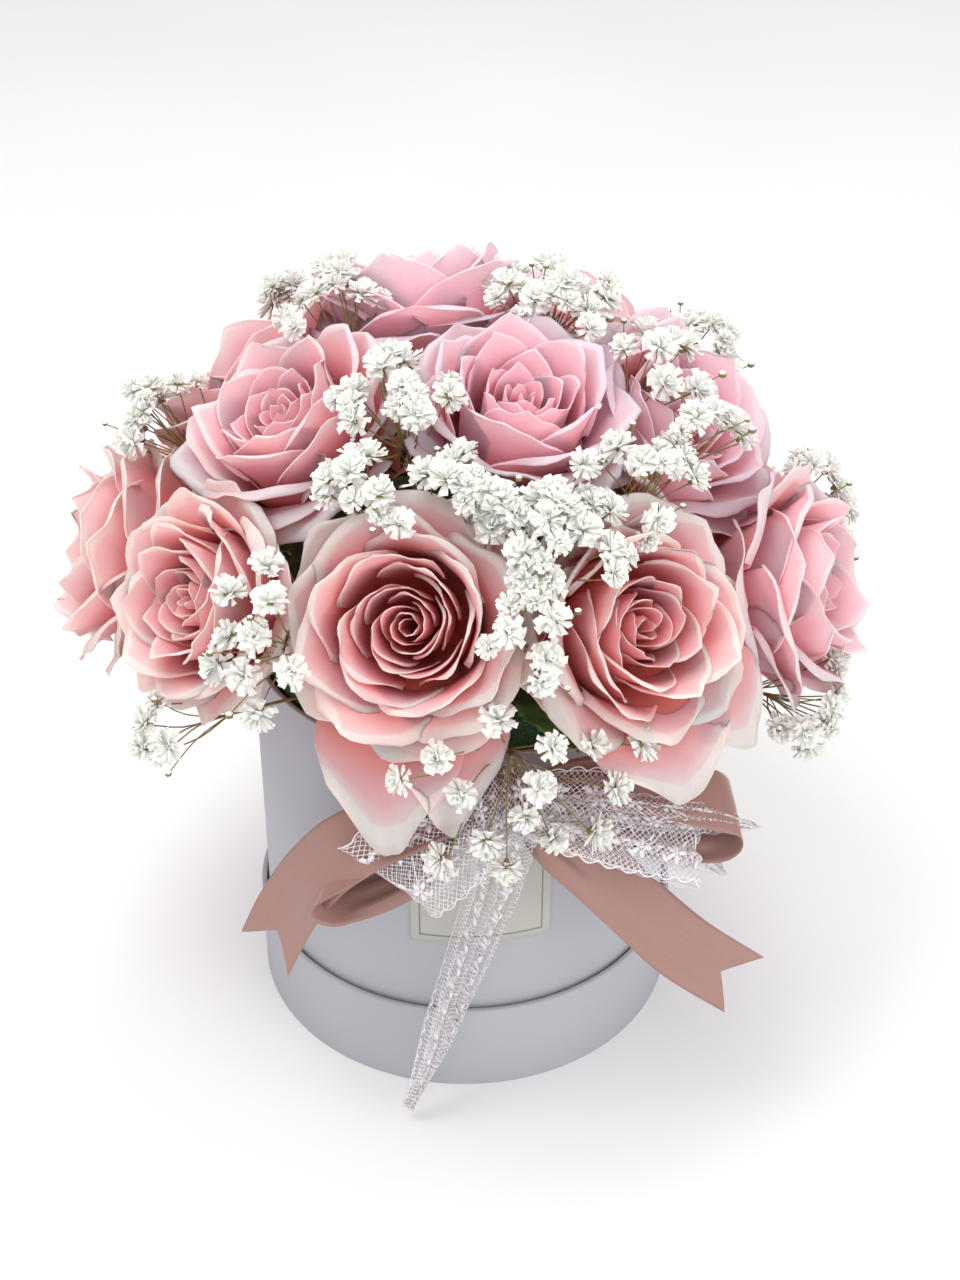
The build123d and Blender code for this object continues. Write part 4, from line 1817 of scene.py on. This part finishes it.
# ---------------------------------------------------------------- studio
@dataclass(frozen=True)
class SoftBox:
    """One soft studio light, in millimetres and watts."""

    name: str
    place: tuple[float, float, float]
    size: float
    power: float


@dataclass
class Studio:
    """The pale floor, the soft lights, the bright surroundings and the camera."""

    aim: Vector = field(default_factory=lambda: Vector((0, 0, 150)))
    floor_size: float = 6.0
    lens: float = 61.875
    camera_place: tuple[float, float, float] = (-50.15, -684.1, 648.7)
    camera_turn: tuple[float, float, float] = (54.27, 0.0, -4.7)
    surroundings: float = 0.67
    lights: tuple[SoftBox, ...] = (
        SoftBox("key", (-500, -200, 1400), 0.9, 8.0),
        SoftBox("fill", (800, -900, 700), 1.0, 4.5),
        SoftBox("front", (-100, -1200, 1000), 1.0, 3.5),
        SoftBox("top", (200, 400, 1500), 0.9, 6.0),
    )

    def floor(self) -> None:
        """The plain pale floor."""
        shape = new_shape()
        bmesh.ops.create_grid(shape, x_segments=1, y_segments=1, size=self.floor_size / METRES / 2)
        bmesh.ops.scale(shape, vec=(METRES,) * 3, verts=shape.verts)
        mesh = bpy.data.meshes.new("floor")
        shape.to_mesh(mesh)
        shape.free()
        shader = Shader("floor")
        shader.constants(Roughness=0.9, Specular_IOR_Level=0.1)
        tone = shader.noise(shader.place((1, 1, 1)), 3.0, 2.0)
        shader.colour(shader.ramp(tone, [(0.3, (0.88, 0.88, 0.88)), (0.7, (0.92, 0.92, 0.92))]))
        mesh.materials.append(shader.material)
        floor = bpy.data.objects.new("floor", mesh)
        bpy.context.scene.collection.objects.link(floor)

    def light(self, box: SoftBox) -> None:
        """Places one soft light, turned towards the flowers."""
        lamp = bpy.data.lights.new(box.name, "AREA")
        lamp.shape = "DISK"
        lamp.size = box.size
        lamp.energy = box.power
        holder = bpy.data.objects.new(box.name, lamp)
        bpy.context.scene.collection.objects.link(holder)
        place = Vector(box.place)
        turn = (self.aim - place).to_track_quat("-Z", "Y")
        holder.matrix_world = Matrix.Translation(place * METRES) @ turn.to_matrix().to_4x4()

    def camera(self) -> None:
        """Places the camera."""
        data = bpy.data.cameras.new("camera")
        data.lens = self.lens
        data.sensor_width = 36.0
        data.clip_start = 0.01
        holder = bpy.data.objects.new("camera", data)
        holder.location = Vector(self.camera_place) * METRES
        holder.rotation_euler = tuple(math.radians(turn) for turn in self.camera_turn)
        bpy.context.scene.collection.objects.link(holder)
        bpy.context.scene.camera = holder

    def build(self) -> None:
        """Sets up the whole studio."""
        scene = bpy.context.scene
        world = bpy.data.worlds.new("surroundings")
        world.use_nodes = True
        background = world.node_tree.nodes["Background"]
        background.inputs["Color"].default_value = (1.0, 1.0, 1.0, 1.0)
        background.inputs["Strength"].default_value = self.surroundings
        scene.world = world
        scene.view_settings.view_transform = "Standard"
        self.floor()
        for box in self.lights:
            self.light(box)
        self.camera()


def dress_frame(nodes: dict[str, bpy.types.Object]) -> None:
    """Gives the CAD pieces that stay their finishes.

    Args:
        nodes: The CAD nodes by name.
    """
    board = PaperFinish(
        "greyboard", srgb(176, 170, 160), srgb(150, 144, 134), 500.0, 0.06, 0.75
    ).make()
    glue = SoftFinish("glue", srgb(226, 222, 208), srgb(210, 204, 186), 120.0, 0.3).make()
    liner = SoftFinish("liner", srgb(212, 218, 214), srgb(206, 213, 208), 60.0, 0.25).make()
    foam = SoftFinish(
        "wet_foam", srgb(64, 104, 66), srgb(34, 66, 42), 900.0, 0.85, depth=0.8
    ).make()
    stem = SoftFinish("stem", srgb(96, 128, 62), srgb(62, 92, 42), 160.0, 0.5).make()
    finishes = {
        "lid_panel": board,
        "lid_band": board,
        "box_tube": board,
        "box_base": board,
        "bow_glue": glue,
        "foam_liner": liner,
        "floral_foam": foam,
        "rose_stems": stem,
    }
    for name, material in finishes.items():
        slots = nodes[name].data.materials
        slots.clear()
        slots.append(material)


def main() -> None:
    """Builds the flower box, piece by piece, and its studio."""
    logging.basicConfig(level=logging.INFO, format="%(name)s: %(message)s")
    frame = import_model()
    nodes = frame["nodes"]
    dress_frame(nodes)
    paper = PaperFinish("box_paper", srgb(182, 183, 190), srgb(176, 177, 184)).make()
    card = PaperFinish(
        "label_card", srgb(196, 194, 188), srgb(189, 188, 181), 700.0, 0.04, 0.7
    ).make()
    ink = PaperFinish(
        "label_line", srgb(150, 152, 148), srgb(136, 138, 134), 700.0, 0.02, 0.6
    ).make()
    leaf = SoftFinish("leaf", srgb(88, 122, 58), srgb(52, 82, 36), 130.0, 0.45).make()
    stalk = SoftFinish("stalk", srgb(150, 140, 92), srgb(120, 106, 66), 200.0, 0.55).make()
    blossom = SoftFinish(
        "blossom", srgb(254, 254, 250), srgb(238, 239, 230), 300.0, 0.6, 0.3
    ).make()
    lace = SoftFinish("lace_thread", srgb(248, 244, 247), srgb(236, 230, 235), 900.0, 0.6).make()
    PaperBox(paper, card, ink).build()
    Bow(SatinFinish().make(), lace).build()
    Bouquet(nodes, PetalFinish().make(), leaf).build()
    BabysBreath(nodes, blossom, stalk).build()
    Studio().build()


if __name__ == "__main__":
    main()
